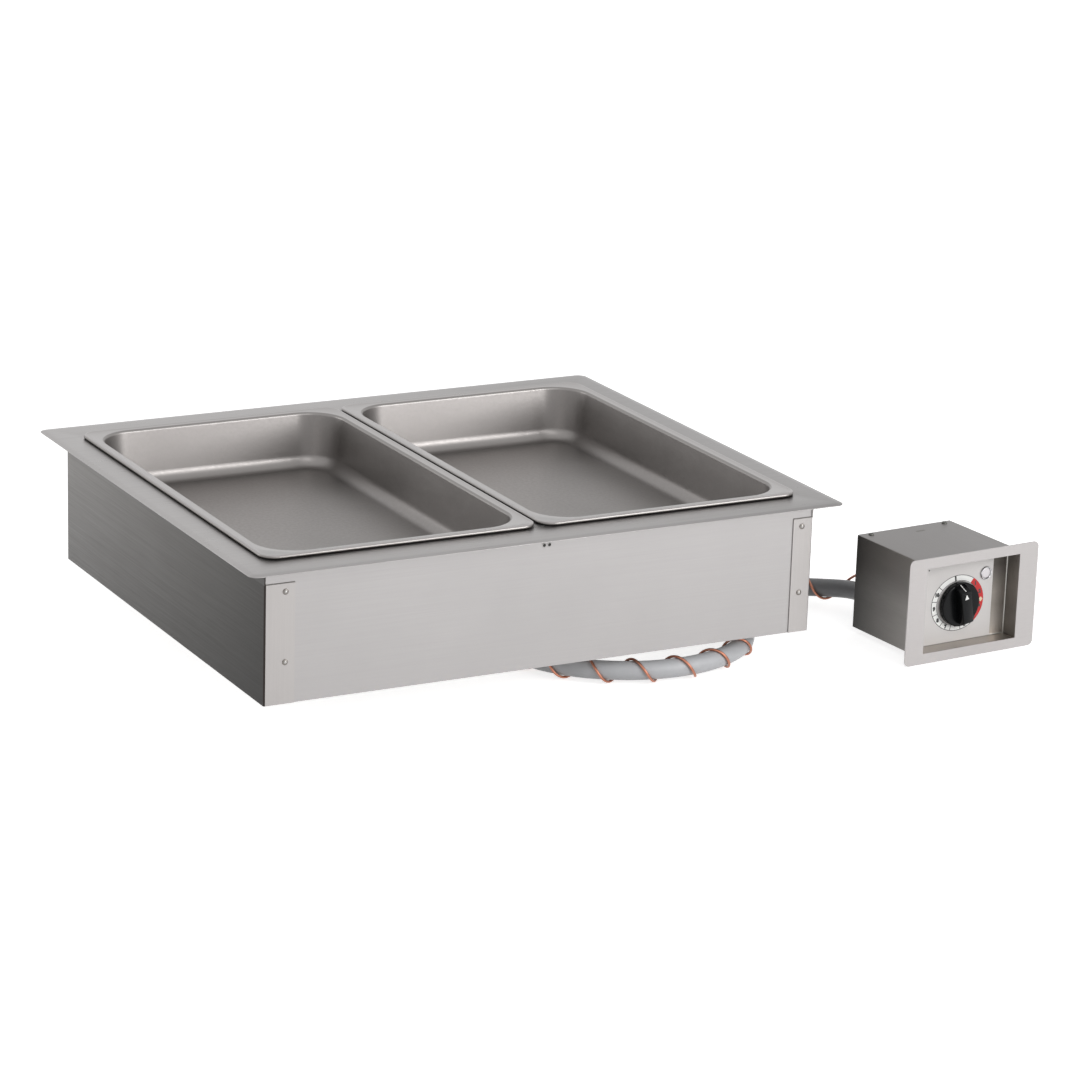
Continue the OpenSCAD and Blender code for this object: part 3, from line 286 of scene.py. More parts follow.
def make_materials():
    along_x = (9, 700, 700)
    along_y = (700, 9, 700)
    along_z = (700, 700, 9)
    cast, plated, tight = (260,) * 3, (300,) * 3, (900,) * 3
    return {
        # The deck steel is painted darker towards the right and along its front strip: painted
        # shade, and a painted reflection of the pans' rims at the front.
        "deck": surface("deck_steel_painted_shade", (0.38, 0.366, 0.362), 0.32, along_x, 1.0,
                        fades=[("X", 0.0, 0.36, 1.0, 0.76), ("Y", -0.295, -0.24, 0.9, 1.0)]),
        "pan": surface("pan_steel", (0.262, 0.248, 0.241), 0.38, cast, 1.0, mottle=0.05),
        # A lighter copy of the pan steel for the rim's top: painted highlight.
        "rim": surface("rim_steel_painted_highlight", (0.40, 0.385, 0.38), 0.3, cast, 1.0, mottle=0.03,
                       rough_spread=0.02, bump=0.000005),
        "bead": surface("rim_bead", (0.26, 0.247, 0.24), 0.34, cast, 1.0, mottle=0.03,
                        rough_spread=0.02, bump=0.000005),
        # Near-black for the faces under the rim's bead: painted shade.
        "rim_under": surface("rim_underside_painted_shade", (0.04, 0.037, 0.034), 0.5, cast, 0.6),
        "well": surface("well_steel", (0.24, 0.235, 0.23), 0.4, along_y, 1.0),
        "front": surface("front_sheet", (0.375, 0.362, 0.36), 0.42, along_x, 1.0, mottle=0.03),
        "wrap": surface("wrap_sheet", (0.39, 0.372, 0.365), 0.42, along_z, 1.0, mottle=0.03),
        # The left side is a dark copy of the sheet steel, darker still towards the front and the
        # bottom: painted shade.
        "side": surface("side_sheet", (0.09, 0.085, 0.08), 0.36, along_y, 1.0, mottle=0.05,
                        fades=[("Y", -0.28, 0.28, 0.38, 1.2), ("Z", -0.16, -0.02, 0.64, 1.2)]),
        # A slightly darker copy of the wrap steel for the right side: painted shade.
        "right_side": surface("right_side_sheet", (0.30, 0.29, 0.285), 0.36, along_y, 1.0,
                              mottle=0.05),
        "under": surface("under_sheet", (0.42, 0.41, 0.40), 0.5, (60, 60, 60), 1.0, mottle=0.12),
        "rivet": surface("rivet_alloy", (0.22, 0.205, 0.19), 0.4, tight, 1.0),
        "mandrel": surface("rivet_mandrel", (0.42, 0.41, 0.40), 0.4, tight, 1.0),
        "dark": surface("shadow_gap", (0.02, 0.018, 0.016), 0.6, tight, 0.0),
        # Dark grey for narrow gaps and slots: painted shade.
        "gap": surface("gap_painted_shade", (0.20, 0.19, 0.18), 0.6, tight, 0.5),
        # Near-black for the left side's bends: painted shade.
        "corner": surface("corner_bend_painted_shade", (0.035, 0.03, 0.028), 0.4, along_z, 1.0),
        "zinc": surface("zinc_plate", (0.50, 0.51, 0.53), 0.35, plated, 1.0, mottle=0.1),
        # The conduit jacket is painted darker from X 0.34 m to 0.42 m, beside the control box:
        # painted shadow.
        "conduit": surface("conduit_jacket", (0.46, 0.465, 0.48), 0.42, (120, 120, 120), 0.0,
                           mottle=0.08, bump=0.0002, fades=[("X", 0.34, 0.42, 1.0, 0.4)]),
        "copper": surface("drawn_copper", (0.42, 0.18, 0.12), 0.36, (500, 500, 500), 1.0,
                          mottle=0.15),
        "cable": surface("cable_sheath", (0.20, 0.19, 0.18), 0.5, plated, 1.0),
        "fibre": surface("mineral_fibre", (0.55, 0.50, 0.34), 0.95, (500, 500, 60), 0.0,
                         mottle=0.2, bump=0.001),
        "rubber": surface("grommet_rubber", (0.02, 0.02, 0.02), 0.7, (400, 400, 400)),
        "bezel": surface("bezel_steel", (0.41, 0.392, 0.388), 0.4, along_x, 1.0, mottle=0.03),
        # A lighter steel for the faceplate's inner bends: painted highlight.
        "bend": surface("bend_painted_highlight", (0.34, 0.33, 0.31), 0.36, plated, 1.0, mottle=0.08),
        # The faceplate's bare steel is a dark brown copy, darker towards the top and lighter near
        # the bottom: painted reflection of the recess's walls and painted shade.
        "faceplate": surface("faceplate_painted_reflection", (0.27, 0.247, 0.224), 0.42, along_x, 1.0,
                             mottle=0.04, fades=[("Z", -0.125, -0.092, 1.0, 0.34),
                                                 ("Z", -0.168, -0.14, 1.5, 1.0)]),
        # The box's sheet is a dark copy on its sides, faded lighter towards the front and the top,
        # and a lighter copy on its top and bottom: painted shade.
        "housing": surface("housing_side_painted_shade", (0.10, 0.095, 0.09), 0.34, along_y, 1.0,
                           mottle=0.05, fades=[("Y", -0.34, -0.21, 3.3, 0.46),
                                               ("Z", -0.145, -0.09, 0.75, 1.4)]),
        "housing_top": surface("housing_top_sheet", (0.25, 0.24, 0.236), 0.46, along_y, 1.0,
                               mottle=0.01, rough_spread=0.02, bump=0.00001),
        "screw": surface("screw_plate", (0.12, 0.12, 0.11), 0.4, tight, 1.0),
        "label": surface("label_print", (0.56, 0.54, 0.53), 0.45, (700, 700, 700), 0.2,
                         mottle=0.02),
        "ink": surface("dark_ink", (0.035, 0.035, 0.035), 0.5, tight),
        "white_ink": surface("white_ink", (0.82, 0.82, 0.80), 0.5, tight, mottle=0.02),
        "red_ink": surface("red_ink", (0.52, 0.010, 0.012), 0.45, tight),
        "cream_ink": surface("cream_ink", (0.74, 0.62, 0.42), 0.5, tight),
        "knob": surface("knob_moulding", (0.003, 0.0035, 0.004), 0.22, (600, 600, 600),
                        rough_spread=0.03, bump=0.00001, shine=0.16),
        "case": surface("thermostat_case", (0.10, 0.09, 0.085), 0.5, plated, 0.6),
        "lens": surface("milky_lens", (0.70, 0.67, 0.69), 0.25, plated, mottle=0.03, coat=0.5),
        "chrome": surface("chrome", (0.55, 0.55, 0.56), 0.14, plated, 1.0, mottle=0.02),
        "plastic": surface("cream_plastic", (0.66, 0.63, 0.55), 0.5, plated),
    }


# Mesh helpers

def make(name, verts, faces, material, body="root", stands_for=(), smooth=35):
    """A piece from points in millimetres; edges sharper than smooth degrees stay sharp."""
    mesh = bpy.data.meshes.new(name)
    mesh.from_pydata([Vector(v) * MM for v in verts], [], faces)
    shape = bmesh.new()
    shape.from_mesh(mesh)
    bmesh.ops.recalc_face_normals(shape, faces=shape.faces)
    shape.to_mesh(mesh)
    shape.free()
    mesh.materials.append(material)
    mesh.shade_smooth()
    mesh.set_sharp_from_angle(angle=math.radians(smooth))
    piece = bpy.data.objects.new(name, mesh)
    scene.collection.objects.link(piece)
    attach(piece, body)
    if stands_for:
        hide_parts(*stands_for)
    return piece


def arc(cx, cz, r, start, end, steps):
    angles = [math.radians(start + (end - start) * i / steps) for i in range(steps + 1)]
    return [(cx + r * math.cos(a), cz + r * math.sin(a)) for a in angles]


def ring(w, d, corner_r, rho, z, centre=(0, 0), corner_steps=14, side_steps=6):
    """A loop at distance rho from the corners' centres of a w by d rectangle with round corners."""
    cx, cy = w / 2 - corner_r, d / 2 - corner_r
    corners = []
    for x, y, start in ((cx, cy, 0), (-cx, cy, 90), (-cx, -cy, 180), (cx, -cy, 270)):
        corners.append(arc(x, y, rho, start, start + 90, corner_steps))
    points = []
    for k in range(4):
        a, b = corners[k][-1], corners[(k + 1) % 4][0]
        points += corners[k]
        points += [(a[0] + (b[0] - a[0]) * i / side_steps, a[1] + (b[1] - a[1]) * i / side_steps)
                   for i in range(1, side_steps)]
    return [(x + centre[0], y + centre[1], z) for x, y in points]


def skin(rings, closed=False):
    """Faces between loops of one length, with a face over each end or closed on itself."""
    n = len(rings[0])
    verts = [p for loop in rings for p in loop]
    faces = []
    pairs = len(rings) if closed else len(rings) - 1
    for i in range(pairs):
        a, b = i * n, (i + 1) % len(rings) * n
        faces += [(a + k, a + (k + 1) % n, b + (k + 1) % n, b + k) for k in range(n)]
    if not closed:
        faces.append(tuple(range(n)))
        faces.append(tuple(range(len(verts) - n, len(verts))))
    return verts, faces


def circles(profile, steps, place):
    """Loops round a matrix's own Z, one for each (radius, height) point."""
    angles = [math.tau * k / steps for k in range(steps)]
    return [[place @ Vector((r * math.cos(a), r * math.sin(a), h)) for a in angles]
            for r, h in profile]


def turned(profile, steps, place):
    """A closed shape turned from (radius, height) points, put in place by a matrix."""
    return skin(circles(profile, steps, place))


def joined(parts):
    """Several shapes as one."""
    verts, faces = [], []
    for v, f in parts:
        faces += [tuple(i + len(verts) for i in face) for face in f]
        verts += v
    return verts, faces


def prism(outline, place, low, high):
    """A flat outline, put in place by a matrix, from one height to another."""
    rings = [[place @ Vector((x, y, h)) for x, y in outline] for h in (low, high)]
    return skin(rings)


def route_point(i):
    """A point of the route, carried on straight past both ends."""
    last = len(CONDUIT_ROUTE) - 1
    if i < 0:
        return 2 * Vector(CONDUIT_ROUTE[0]) - Vector(CONDUIT_ROUTE[1])
    if i > last:
        return 2 * Vector(CONDUIT_ROUTE[last]) - Vector(CONDUIT_ROUTE[last - 1])
    return Vector(CONDUIT_ROUTE[i])


def on_route(u):
    """The place at u, counted in points of the route, on the smooth line along it."""
    i = min(int(math.floor(u)), len(CONDUIT_ROUTE) - 2)
    t = u - i
    weights = ((1 - t) ** 3, 3 * t ** 3 - 6 * t * t + 4,
               -3 * t ** 3 + 3 * t * t + 3 * t + 1, t ** 3)
    total = Vector((0, 0, 0))
    for k, w in enumerate(weights):
        total += route_point(i - 1 + k) * (w / 6)
    return total


def heading(u):
    last = len(CONDUIT_ROUTE) - 1
    return (on_route(min(u + 0.01, last)) - on_route(max(u - 0.01, 0))).normalized()


def run_table():
    """Pairs of the distance run along the route and the place on it."""
    steps = 8
    table = [(0.0, 0.0)]
    for i in range(1, (len(CONDUIT_ROUTE) - 1) * steps + 1):
        u = i / steps
        table.append((table[-1][0] + (on_route(u) - on_route(table[-1][1])).length, u))
    return table


def place_at(table, s):
    """The place on the route after a run of s millimetres."""
    for (s0, u0), (s1, u1) in zip(table, table[1:]):
        if s <= s1:
            return u0 + (u1 - u0) * max(s - s0, 0) / (s1 - s0)
    return table[-1][1]


def wound(table, s):
    """The winding's point after a run of s millimetres along the conduit."""
    u = place_at(table, s)
    forward = heading(u)
    side = forward.cross(Vector((0, 0, 1))).normalized()
    up = side.cross(forward)
    a = math.radians(WINDING_PHASE - 360 * s / WINDING_PITCH)
    return on_route(u) + WINDING_R * (math.cos(a) * side + math.sin(a) * up)


def link(p, dp, q, dq, steps):
    """The points between p and q on a curve that leaves along dp and arrives along dq."""
    points = []
    for i in range(1, steps):
        t = i / steps
        points.append((1 - t) ** 3 * p + 3 * (1 - t) ** 2 * t * (p + dp)
                      + 3 * (1 - t) * t * t * (q - dq) + t ** 3 * q)
    return points


def capillary_path(table):
    """From the bulb down through the casing's grommet, round the conduit and into the box."""
    elbow = Vector(CONDUIT_ROUTE[0])
    bulb_end = Vector(BULB_END)
    straight = bulb_end + Vector((6, 0, 0))
    rise = Vector((elbow.x + GROMMET_FROM_ELBOW[0], elbow.y + GROMMET_FROM_ELBOW[1], -136))
    drop = Vector((rise.x, rise.y, -158))
    end = table[-1][0] - WINDING_END_REST
    steps = round((end - WINDING_START) / WINDING_PITCH * 24)
    winding = [wound(table, WINDING_START + (end - WINDING_START) * i / steps)
               for i in range(steps + 1)]
    enters = (wound(table, WINDING_START + 1) - winding[0]).normalized()
    leaves = (winding[-1] - wound(table, end - 1)).normalized()
    approach = to_box @ Vector((CONNECTOR_X, MOUTH_Y + 6, GROMMET_Z))
    inside = to_box @ Vector((CONNECTOR_X, THERMOSTAT_BACK, GROMMET_Z))
    inward = (inside - approach).normalized()
    path = [bulb_end, straight]
    path += link(straight, Vector((9, 0, 0)), rise, Vector((0, 0, -9)), 8)
    path += [rise, drop]
    path += link(drop, Vector((0, 0, -14)), winding[0], 14 * enters, 10)
    path += winding
    path += link(winding[-1], 24 * leaves, approach, 20 * inward, 12)
    path += [approach, inside]
    return path


def round_curve(name, path, diameter, material, stands_for):
    data = bpy.data.curves.new(name, "CURVE")
    data.dimensions = "3D"
    spline = data.splines.new("POLY")
    spline.points.add(len(path) - 1)
    for point, p in zip(spline.points, path):
        point.co = (*(p * MM), 1)
    data.bevel_depth = diameter * MM / 2
    data.bevel_resolution = 6
    data.use_fill_caps = True
    data.materials.append(material)
    piece = bpy.data.objects.new(name, data)
    scene.collection.objects.link(piece)
    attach(piece, "root")
    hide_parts(stands_for)
    return piece


def conduit_and_capillary(m):
    table = run_table()
    steps = 260
    last = len(CONDUIT_ROUTE) - 1
    path = [on_route(last * i / steps) for i in range(steps + 1)]
    conduit = round_curve("conduit_tube", path, CONDUIT_D, m["conduit"], "conduit")
    capillary = round_curve("capillary_wire", capillary_path(table), CAPILLARY_D, m["copper"],
                            "capillary_tube")


# Deck and pans

def deck(m):
    low, high = [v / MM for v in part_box("deck_flange")]
    w, d, top = high.x - low.x, high.y - low.y, high.z
    corner_r, edge_w, foot_w, edge_t, rise = 11, 8, 3, 0.8, 1.0
    inner = corner_r - edge_w
    lip, roll = 0.5, 0.72
    rings = [ring(WELL_W, WELL_D, WELL_R, WELL_R, rise),
             ring(WELL_W, WELL_D, WELL_R, WELL_R, top - lip)]
    rings += [ring(WELL_W, WELL_D, WELL_R, WELL_R + x, z)
              for x, z in arc(lip, top - lip, lip, 180, 90, 4)[1:]]
    rings.append(ring(w, d, corner_r, inner - 1, top))
    bend = 12
    for i in range(bend + 1):
        t = i / bend
        fall = (1 - math.cos(math.pi * t * roll)) / (1 - math.cos(math.pi * roll))
        z = top - (top - edge_t) * fall
        rings.append(ring(w, d, corner_r, inner + (edge_w - 0.3) * t, z))
    rings += [ring(w, d, corner_r, corner_r, edge_t - 0.3), ring(w, d, corner_r, corner_r, 0.25),
              ring(w, d, corner_r, corner_r - 0.25, 0), ring(w, d, corner_r, corner_r - foot_w, 0),
              ring(w, d, corner_r, inner, rise)]
    make("deck_sheet", *skin(rings, closed=True), m["deck"], stands_for=["deck_flange"], smooth=50)


def pan_rings(w, d, top, height, centre):
    """Loops from the floor inside, up the wall, over the rolled rim and back down outside."""
    rim_w, bead, step, sheet = 12.5, 4.5, 0.5, 0.8
    corner_r, rim_corner_r = 43, 18
    taper, bottom_r, flare_r = 7, 16, 3.5
    wall_w, wall_d = w - 2 * rim_w, d - 2 * rim_w
    flat = top - step
    floor = sheet + step - height
    lean = math.atan(taper / -floor)
    foot = corner_r - taper
    bottom_x = foot + bottom_r * math.tan(lean) - bottom_r / math.cos(lean)
    flare_x = foot + (-flare_r - floor) * math.tan(lean) + flare_r / math.cos(lean)
    tilt = math.degrees(lean)
    wall_in = arc(bottom_x, floor + bottom_r, bottom_r, -90, -tilt, 10)
    wall_in += arc(flare_x, -flare_r, flare_r, 180 - tilt, 90, 6)
    wall_out = arc(bottom_x, floor + bottom_r, bottom_r + sheet, -90, -tilt, 10)
    wall_out += arc(flare_x, -flare_r, flare_r - sheet, 180 - tilt, 90, 6)
    bead_r = bead / 2
    meets = math.degrees(math.asin((bead_r - step) / bead_r))
    under = math.degrees(math.asin((bead_r - step - sheet) / bead_r))
    bead_arc = arc(rim_corner_r - bead_r, -bead_r, bead_r, 180 - meets, under - 180, 24)

    def at_wall(x, z):
        return ring(wall_w, wall_d, corner_r, x, flat + z, centre)

    def at_rim(x, z):
        return ring(w, d, rim_corner_r, x, top + z, centre)

    rings = [at_wall(x, z) for x, z in wall_in]
    rings += [at_rim(x, z) for x, z in bead_arc]
    rings += [at_wall(x, z) for x, z in reversed(wall_out)]
    return rings


def pans(m):
    for name in ("left_pan", "right_pan"):
        rim = name + "_rim"
        low, high = [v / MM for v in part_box(rim)]
        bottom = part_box(name)[0].z / MM
        centre = ((low.x + high.x) / 2, (low.y + high.y) / 2)
        rings = pan_rings(high.x - low.x, high.y - low.y, high.z, high.z - bottom, centre)
        piece = make(name + "_drawn", *skin(rings), m["pan"], body=name, stands_for=[name, rim],
                     smooth=45)
        for look in ("rim", "bead", "rim_under"):
            piece.data.materials.append(m[look])
        # The rim's top faces take the lighter copy, a painted highlight.
        flat_low, bead_low = high.z - 0.7, high.z - 2.9
        for face in piece.data.polygons:
            if face.center.z > flat_low * MM:
                face.material_index = 1
            elif face.center.z > bead_low * MM and face.normal.z > -0.3:
                face.material_index = 2
            # Faces under the bead take the near-black, a painted shade.
            elif face.center.z > low.z * MM and face.normal.z < 0.2:
                face.material_index = 3


# Side sheets of the casing and the sheet of the control box, with their bends

def two_tone(piece, material, axis):
    """A second material on the faces that look along one axis, a copy of the steel in another tone:
    painted shade by which way a face looks.
    """
    piece.data.materials.append(material)
    for face in piece.data.polygons:
        if abs(face.normal[axis]) > 0.7:
            face.material_index = 1


def side_sheets(m):
    """Flat sheets whose lower part wraps round the front and the back, with dark strips of painted
    shade in the gaps above it.
    """
    sheet, bend_r, wrap_drop = 1.2, 1.8, 18
    gap_in, gap_out, gap_h = 0.2, 0.3, 0.9
    for name, side in (("left_side_panel", -1), ("right_side_panel", 1)):
        low, high = [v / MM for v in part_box(name)]
        wrap, half_w, half_d = high.x - low.x, max(-low.x, high.x), high.y
        outer = [(wrap - half_w, -half_d)]
        outer += arc(bend_r - half_w, bend_r - half_d, bend_r, 270, 180, 6)
        outer += arc(bend_r - half_w, half_d - bend_r, bend_r, 180, 90, 6)
        outer.append((wrap - half_w, half_d))
        inner = [(wrap - half_w, sheet - half_d)]
        inner += arc(bend_r - half_w, bend_r - half_d, bend_r - sheet, 270, 180, 6)
        inner += arc(bend_r - half_w, half_d - bend_r, bend_r - sheet, 180, 90, 6)
        inner.append((wrap - half_w, half_d - sheet))
        flip = Matrix.Scale(-side, 4, (1, 0, 0))
        wrapped = prism(outer + inner[::-1], flip, low.z, -wrap_drop)
        upright = [(-half_w, -half_d), (sheet - half_w, -half_d), (sheet - half_w, half_d),
                   (-half_w, half_d)]
        flat = prism(upright, flip, -wrap_drop, high.z)
        piece = make(name + "_sheet", *joined([wrapped, flat]), m["wrap"], stands_for=[name])
        # The side faces take darker copies of the steel than the wrap: painted shade, strong on the
        # left and slight on the right.
        two_tone(piece, m["side"] if side < 0 else m["right_side"], 0)
        # On the left, the bends and the upright sheet's front and back edges take the near-black:
        # painted shade.
        piece.data.materials.append(m["corner"] if side < 0 else m["wrap"])
        for face in piece.data.polygons:
            upper_edge = face.center.z > -wrap_drop * MM and abs(face.normal.y) > 0.9
            if 0.05 < abs(face.normal.x) < 0.97 or upper_edge:
                face.material_index = 2
        # Thin dark strips stand for the shade in the gap above each wrap.
        gap_w = gap_in + gap_out
        gaps = [prism([(sheet - half_w, y), (wrap - half_w, y), (wrap - half_w, y + gap_w),
                       (sheet - half_w, y + gap_w)], flip, -wrap_drop, gap_h - wrap_drop)
                for y in (sheet - half_d - gap_out, half_d - sheet - gap_in)]
        make(name + "_painted_gap_shade", *joined(gaps), m["gap"])


def housing(m):
    """The control box's sheet, open in front and behind, with a small dark mark of painted shade
    for the slot on its top.
    """
    low, high = Vector(HOUSING_LOW), Vector(HOUSING_HIGH)
    sheet, bend_r = 1.0, 1.4
    middle = ((low.x + high.x) / 2, (low.z + high.z) / 2)
    w, h = high.x - low.x, high.z - low.z

    def loop(rho, y):
        return [to_box @ Vector((x, y, z)) for x, z, _ in
                ring(w, h, bend_r, rho, 0, middle, corner_steps=4, side_steps=1)]

    rings = [loop(bend_r, low.y), loop(bend_r, high.y), loop(bend_r - sheet, high.y),
             loop(bend_r - sheet, low.y)]
    piece = make("housing_sheet", *skin(rings, closed=True), m["housing"],
                 stands_for=["control_housing"])
    # The top and bottom faces take the lighter copy: painted shade by which way a face looks.
    two_tone(piece, m["housing_top"], 2)
    x0, x1, y0, y1 = 93, 105, 110.5, 114
    slot = prism([(x0, y0), (x1, y0), (x1, y1), (x0, y1)], to_box, high.z - 0.5, high.z + 0.03)
    make("housing_slot_painted_shade", *slot, m["gap"])


def cover_screw_heads(m):
    """Low round heads with a cross recess."""
    head_r, head_h, edge_h = 3.25, 2.2, 0.5
    reach, half, floor, mouth = 1.7, 0.35, 1.2, 2.14
    dome = [(head_r, 0), (head_r, edge_h)]
    dome += [(head_r * math.cos(a), edge_h + (head_h - edge_h) * math.sin(a))
             for a in (math.radians(d) for d in range(15, 90, 15))]
    bar = [(-reach, -half), (reach, -half), (reach, half), (-reach, half)]
    heads, crosses = [], []
    for x in SCREW_XS:
        for z, turn in ((HOUSING_HIGH[2], 0), (HOUSING_LOW[2], 180)):
            place = to_box @ Matrix.Translation((x, SCREW_Y, z))
            place = place @ Matrix.Rotation(math.radians(turn), 4, "X")
            heads.append(turned(dome, 28, place))
            for a in (30, 120):
                across = place @ Matrix.Rotation(math.radians(a), 4, "Z")
                crosses.append(prism(bar, across, floor, mouth))
    make("cover_screw_heads", *joined(heads), m["screw"], stands_for=["cover_screws"],
         smooth=40)
    make("cover_screw_recesses", *joined(crosses), m["dark"])


# Fasteners on the casing

def rivets(m):
    """Blind rivets: a dome with a dimple over the mandrel's hole."""
    low, high = [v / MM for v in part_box("panel_rivets")]
    head_r, head_h, hole_r = 3.3, 1.3, 1.5
    dome = [(head_r, 0), (head_r, 0.25)]
    dome += [(head_r * math.cos(a), 0.25 + (head_h - 0.25) * math.sin(a))
             for a in (math.radians(10 * i) for i in range(1, 7))]
    dome += [(hole_r + 0.2, head_h), (hole_r, head_h - 0.15)]
    heads, cores = [], []
    for x in (low.x + head_r, high.x - head_r):
        for side, face in ((-1, low.y + head_h), (1, high.y - head_h)):
            for z in (high.z - head_r, low.z + head_r):
                place = Matrix.Translation((x, face, z))
                place = place @ Matrix.Rotation(math.radians(-90 * side), 4, "X")
                heads.append(turned(dome + [(hole_r, 0.5)], 28, place))
                cores.append(turned([(hole_r - 0.05, 0.5), (hole_r - 0.05, head_h - 0.2),
                                     (hole_r - 0.3, head_h - 0.05)], 20, place))
    make("rivet_heads", *joined(heads), m["rivet"], stands_for=["panel_rivets"], smooth=40)
    make("rivet_mandrels", *joined(cores), m["mandrel"], smooth=40)


def front_eyelets(m):
    """Two small open rivets at the top middle of the front panel."""
    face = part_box("front_panel")[0].y / MM
    xs, z = (-5.2, 1.0), -12
    rim = [(2.6, 0), (2.6, 0.2), (2.3, 0.5), (1.9, 0.5), (1.8, 0.1)]
    hole = [(1.82, 0.02), (1.82, 0.2), (1.5, 0.24)]
    rims, holes = [], []
    for x in xs:
        place = Matrix.Translation((x, face, z)) @ Matrix.Rotation(math.radians(90), 4, "X")
        rims.append(turned(rim, 24, place))
        holes.append(turned(hole, 24, place))
    make("front_eyelets", *joined(rims), m["mandrel"], smooth=40)
    make("front_eyelet_holes", *joined(holes), m["dark"], smooth=40)


# Control box

def on_dial(x, z, y):
    """A place on the box's front: its own X to the right, its own Y up, its own Z to the front."""
    return to_box @ Matrix.Translation((x, y, z)) @ Matrix.Rotation(math.radians(90), 4, "X")


def sector(r0, r1, start, end, steps):
    """An outline between two radii, with angles clockwise from the top."""
    outer = arc(0, 0, r1, 90 - start, 90 - end, steps)
    outline = outer + list(reversed(arc(0, 0, r0, 90 - start, 90 - end, steps)))
    return [(x * DIAL_WIDE, y) for x, y in outline]


def dial_ring(m):
    """The print round the knob: ring, off tick, red band, ticks, cream mark and numbers."""
    place = on_dial(KNOB_X, KNOB_Z, DIAL_FRONT)
    r0, r1 = 26.6, 32.4

    def band(inner, outer, high):
        return joined([prism(sector(inner, outer, a, a + 90, 16), place, -0.1, high)
                       for a in (0, 90, 180, 270)])

    make("dial_outline", *joined([band(r1, 33.1, 0.06), band(r0 - 0.5, r0, 0.06)]), m["ink"])
    make("dial_band", *band(r0, r1, 0.04), m["white_ink"])
    make("dial_off_tick", *prism(sector(r0, r1, -9.5, -5.5, 2), place, -0.1, 0.1), m["ink"])
    make("dial_red_band", *prism(sector(r0, r1 + 0.6, 36, 144, 24), place, -0.1, 0.1), m["red_ink"])
    pointer = [(x * DIAL_WIDE, y) for x, y in ((29.8, -3), (32.2, 0), (29.8, 3), (26.8, 0))]
    ticks = [prism(sector(r0, r1, a - 0.7, a + 0.7, 2), place, -0.1, 0.08)
             for a in (147, 170, 194, 220, 249, 280, 312)]
    make("dial_ticks", *joined(ticks), m["ink"])
    make("dial_cream_mark", *prism(pointer, place, -0.1, 0.14), m["cream_ink"])
    dot_r = 0.9
    dot = [(dot_r * math.cos(math.tau * k / 16), dot_r * math.sin(math.tau * k / 16))
           for k in range(16)]
    make("label_dot", *prism(dot, on_dial(43.5, 101.7, DIAL_FRONT), -0.1, 0.05), m["ink"])
    numbers(m, (r0 + r1) / 2)


def numbers(m, radius):
    """Plain numbers round the dial."""
    angles = (48, 71, 106, 132, 158, 181, 207, 234, 264, 296)
    for count, angle in enumerate(angles, start=1):
        data = bpy.data.curves.new("dial_number_%d" % count, "FONT")
        data.body = str(count)
        data.size = 5.8 * MM
        data.offset = 0.55 * MM
        data.extrude = 0.03 * MM
        data.align_x, data.align_y = "CENTER", "CENTER"
        data.materials.append(m["ink"])
        piece = bpy.data.objects.new(data.name, data)
        a = math.radians(90 - angle)
        place = on_dial(KNOB_X + DIAL_WIDE * radius * math.cos(a), KNOB_Z + radius * math.sin(a),
                        DIAL_FRONT - 0.13)
        piece.matrix_world = Matrix.Scale(MM, 4) @ place @ Matrix.Scale(1 / MM, 4)
        scene.collection.objects.link(piece)
        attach(piece, "root")


def knob(m):
    """A disc with a soft edge and a bar grip whose nose slopes down at the pointer's end."""
    place = on_dial(KNOB_X, KNOB_Z, KNOB_BACK) @ Matrix.Rotation(math.radians(KNOB_TURN), 4, "Z")
    disc_r, disc_h, top = 26, 7.5, 19
    edge = [(disc_r - 2 + x, z) for x, z in arc(0, disc_h - 2, 2, 0, 90, 6)]
    disc = turned([(disc_r - 1, 0), (disc_r, 0.8)] + edge + [(disc_r - 6, disc_h)], 72, place)
    side = [(-21.6, 4), (24.9, 4), (24.9, 7.9), (24.5, 8.7), (19.2, 17.8), (17.4, 19),
            (-17.2, 19), (-19.2, 18.2), (-21.3, 15.2), (-21.6, 14)]
    half = 7
    layers = []
    for x, inset in ((-half, 0.8), (-half + 0.25, 0.25), (-half + 0.8, 0), (half - 0.8, 0),
                     (half - 0.25, 0.25), (half, 0.8)):
        loop = []
        for y, h in side:
            y_in = y - math.copysign(inset, y)
            loop.append(place @ Vector((x, y_in, h - inset if h > disc_h else h)))
        layers.append(loop)
    grip = skin(layers)
    make("knob_moulded", *joined([disc, grip]), m["knob"], body="knob",
         stands_for=["control_knob"], smooth=30)
    # The pointer's line lies on the nose's slope
    (foot_y, foot_h), (head_y, head_h) = side[3], side[4]
    slope = Vector((0, head_y - foot_y, head_h - foot_h)).normalized()
    line = [(-0.5, 0.1), (0.5, 0.1), (0.5, 10.4), (-0.5, 10.4)]
    axes = Matrix(((1, 0, 0, 0), (0, slope.y, -slope.z, 0), (0, slope.z, slope.y, 0), (0, 0, 0, 1)))
    on_slope = place @ Matrix.Translation((0, foot_y, foot_h)) @ axes
    mark = prism(line, on_slope, -0.3, 0.12)
    triangle = prism([(-2.7, 9.8), (2.7, 9.8), (0, 15.6)], place, top - 0.3, top + 0.08)
    make("knob_marks", *joined([mark, triangle]), m["white_ink"], body="knob")


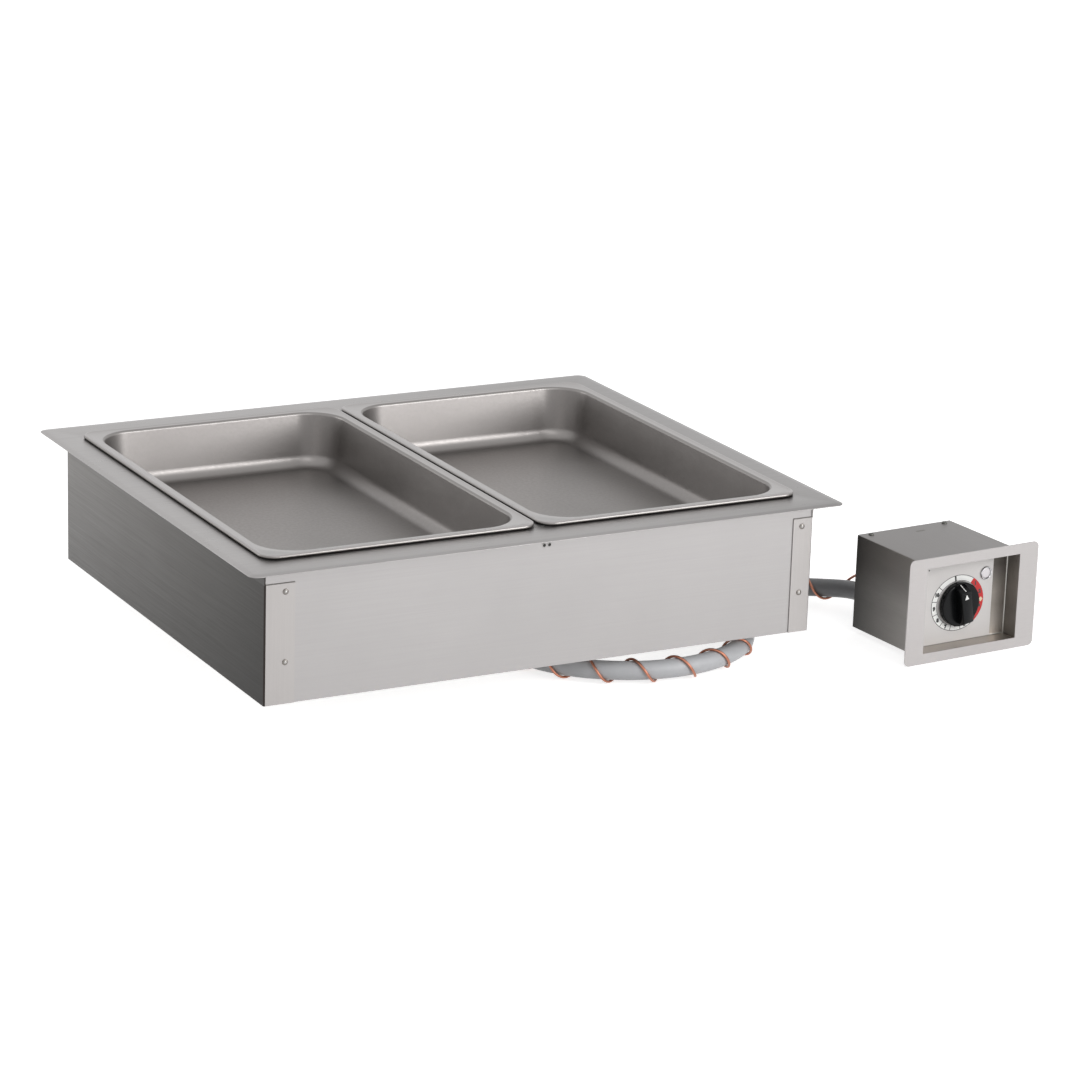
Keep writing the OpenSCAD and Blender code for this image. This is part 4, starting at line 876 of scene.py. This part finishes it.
def recess_bends(m):
    """The faceplate's inner bends, where its back turns into its right and lower walls, in a
    lighter steel: painted highlight.
    """
    left, right, low, high, back, r = 25.2, 155.8, 12, 112, 21.5, 1.2
    bend = [(-r * math.sin(a), -r * math.cos(a)) for a in map(math.radians, (0, 30, 60, 90))]
    section = [(0.0, 0.0)] + [(-r - x, -r - y) for x, y in bend]
    upright = [[to_box @ Vector((right + x, back + y, z)) for x, y in section] for z in (low, high)]
    level = [[to_box @ Vector((x, back + y, low - z)) for z, y in section] for x in (left, right)]
    make("recess_bends", *joined([skin(upright), skin(level)]), m["bend"], smooth=60)


def indicator(m):
    """The indicator light's domed lens in its bright ring."""
    place = on_dial(LIGHT_X, LIGHT_Z, DIAL_FRONT)
    lens_r, lens_h, edge_h, ring_r, ring_h = 6, 1.5, 0.3, 8, 2
    dome = [(lens_r, 0), (lens_r, edge_h)]
    dome += [(lens_r * math.cos(a), edge_h + (lens_h - edge_h) * math.sin(a))
             for a in (math.radians(d) for d in range(10, 90, 10))]
    make("indicator_dome", *turned(dome, 48, place), m["lens"], stands_for=["indicator_lens"],
         smooth=40)
    bezel = [(lens_r + 0.15, 0), (lens_r + 0.15, ring_h - 0.6), (lens_r + 0.7, ring_h),
             (ring_r - 0.8, ring_h), (ring_r - 0.2, ring_h - 0.6), (ring_r, 0)]
    make("indicator_rim", *skin(circles(bezel, 48, place), closed=True), m["chrome"],
         stands_for=["indicator_ring"], smooth=40)


# CAD nodes that keep their own shape

def dress(node, material, bevel=0.3):
    """A material on a CAD node, and softened edges unless the bevel is 0."""
    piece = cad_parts[node]
    for slot in piece.material_slots:
        slot.material = material
    if not bevel:
        return
    weld = piece.modifiers.new("weld", "WELD")
    weld.merge_threshold = 0.02 * MM
    edges = piece.modifiers.new("edges", "BEVEL")
    edges.width = bevel * MM
    edges.segments = 2
    edges.limit_method = "ANGLE"
    edges.angle_limit = math.radians(40)
    edges.harden_normals = True


def dress_nodes(m):
    looks = {
        "well": ["well_liner", "divider_supports", "divider_bar"],
        "front": ["front_panel", "back_panel"],
        "under": ["bottom_panel"],
        "zinc": ["conduit_elbow", "elbow_locknut", "box_connector", "connector_locknut",
                 "bulb_clip", "thermostat_spindle"],
        "copper": ["thermostat_bulb"],
        "cable": ["heating_cable"],
        "fibre": ["insulation_wrap", "insulation_base"],
        "rubber": ["capillary_grommets"],
        "bezel": ["control_bezel"],
        "faceplate": ["control_faceplate"],
        "housing": ["housing_back_cover"],
        "label": ["dial_plate"],
        "case": ["thermostat_body"],
        "plastic": ["indicator_body", "terminal_block"],
    }
    plain = ("heating_cable", "insulation_wrap", "insulation_base", "thermostat_bulb",
             "front_panel", "back_panel", "bottom_panel", "housing_back_cover")
    for look, nodes in looks.items():
        for node in nodes:
            dress(node, m[look], 0 if node in plain else 0.3)
    # A second, finer pass over the edges that the first one leaves
    dress("dial_plate", m["label"], 0.1)


materials = make_materials()
camera_and_floor()
conduit_and_capillary(materials)
studio()
deck(materials)
pans(materials)
side_sheets(materials)
housing(materials)
cover_screw_heads(materials)
rivets(materials)
front_eyelets(materials)
dial_ring(materials)
recess_bends(materials)
knob(materials)
indicator(materials)
dress_nodes(materials)

scene.view_settings.view_transform = "Standard"
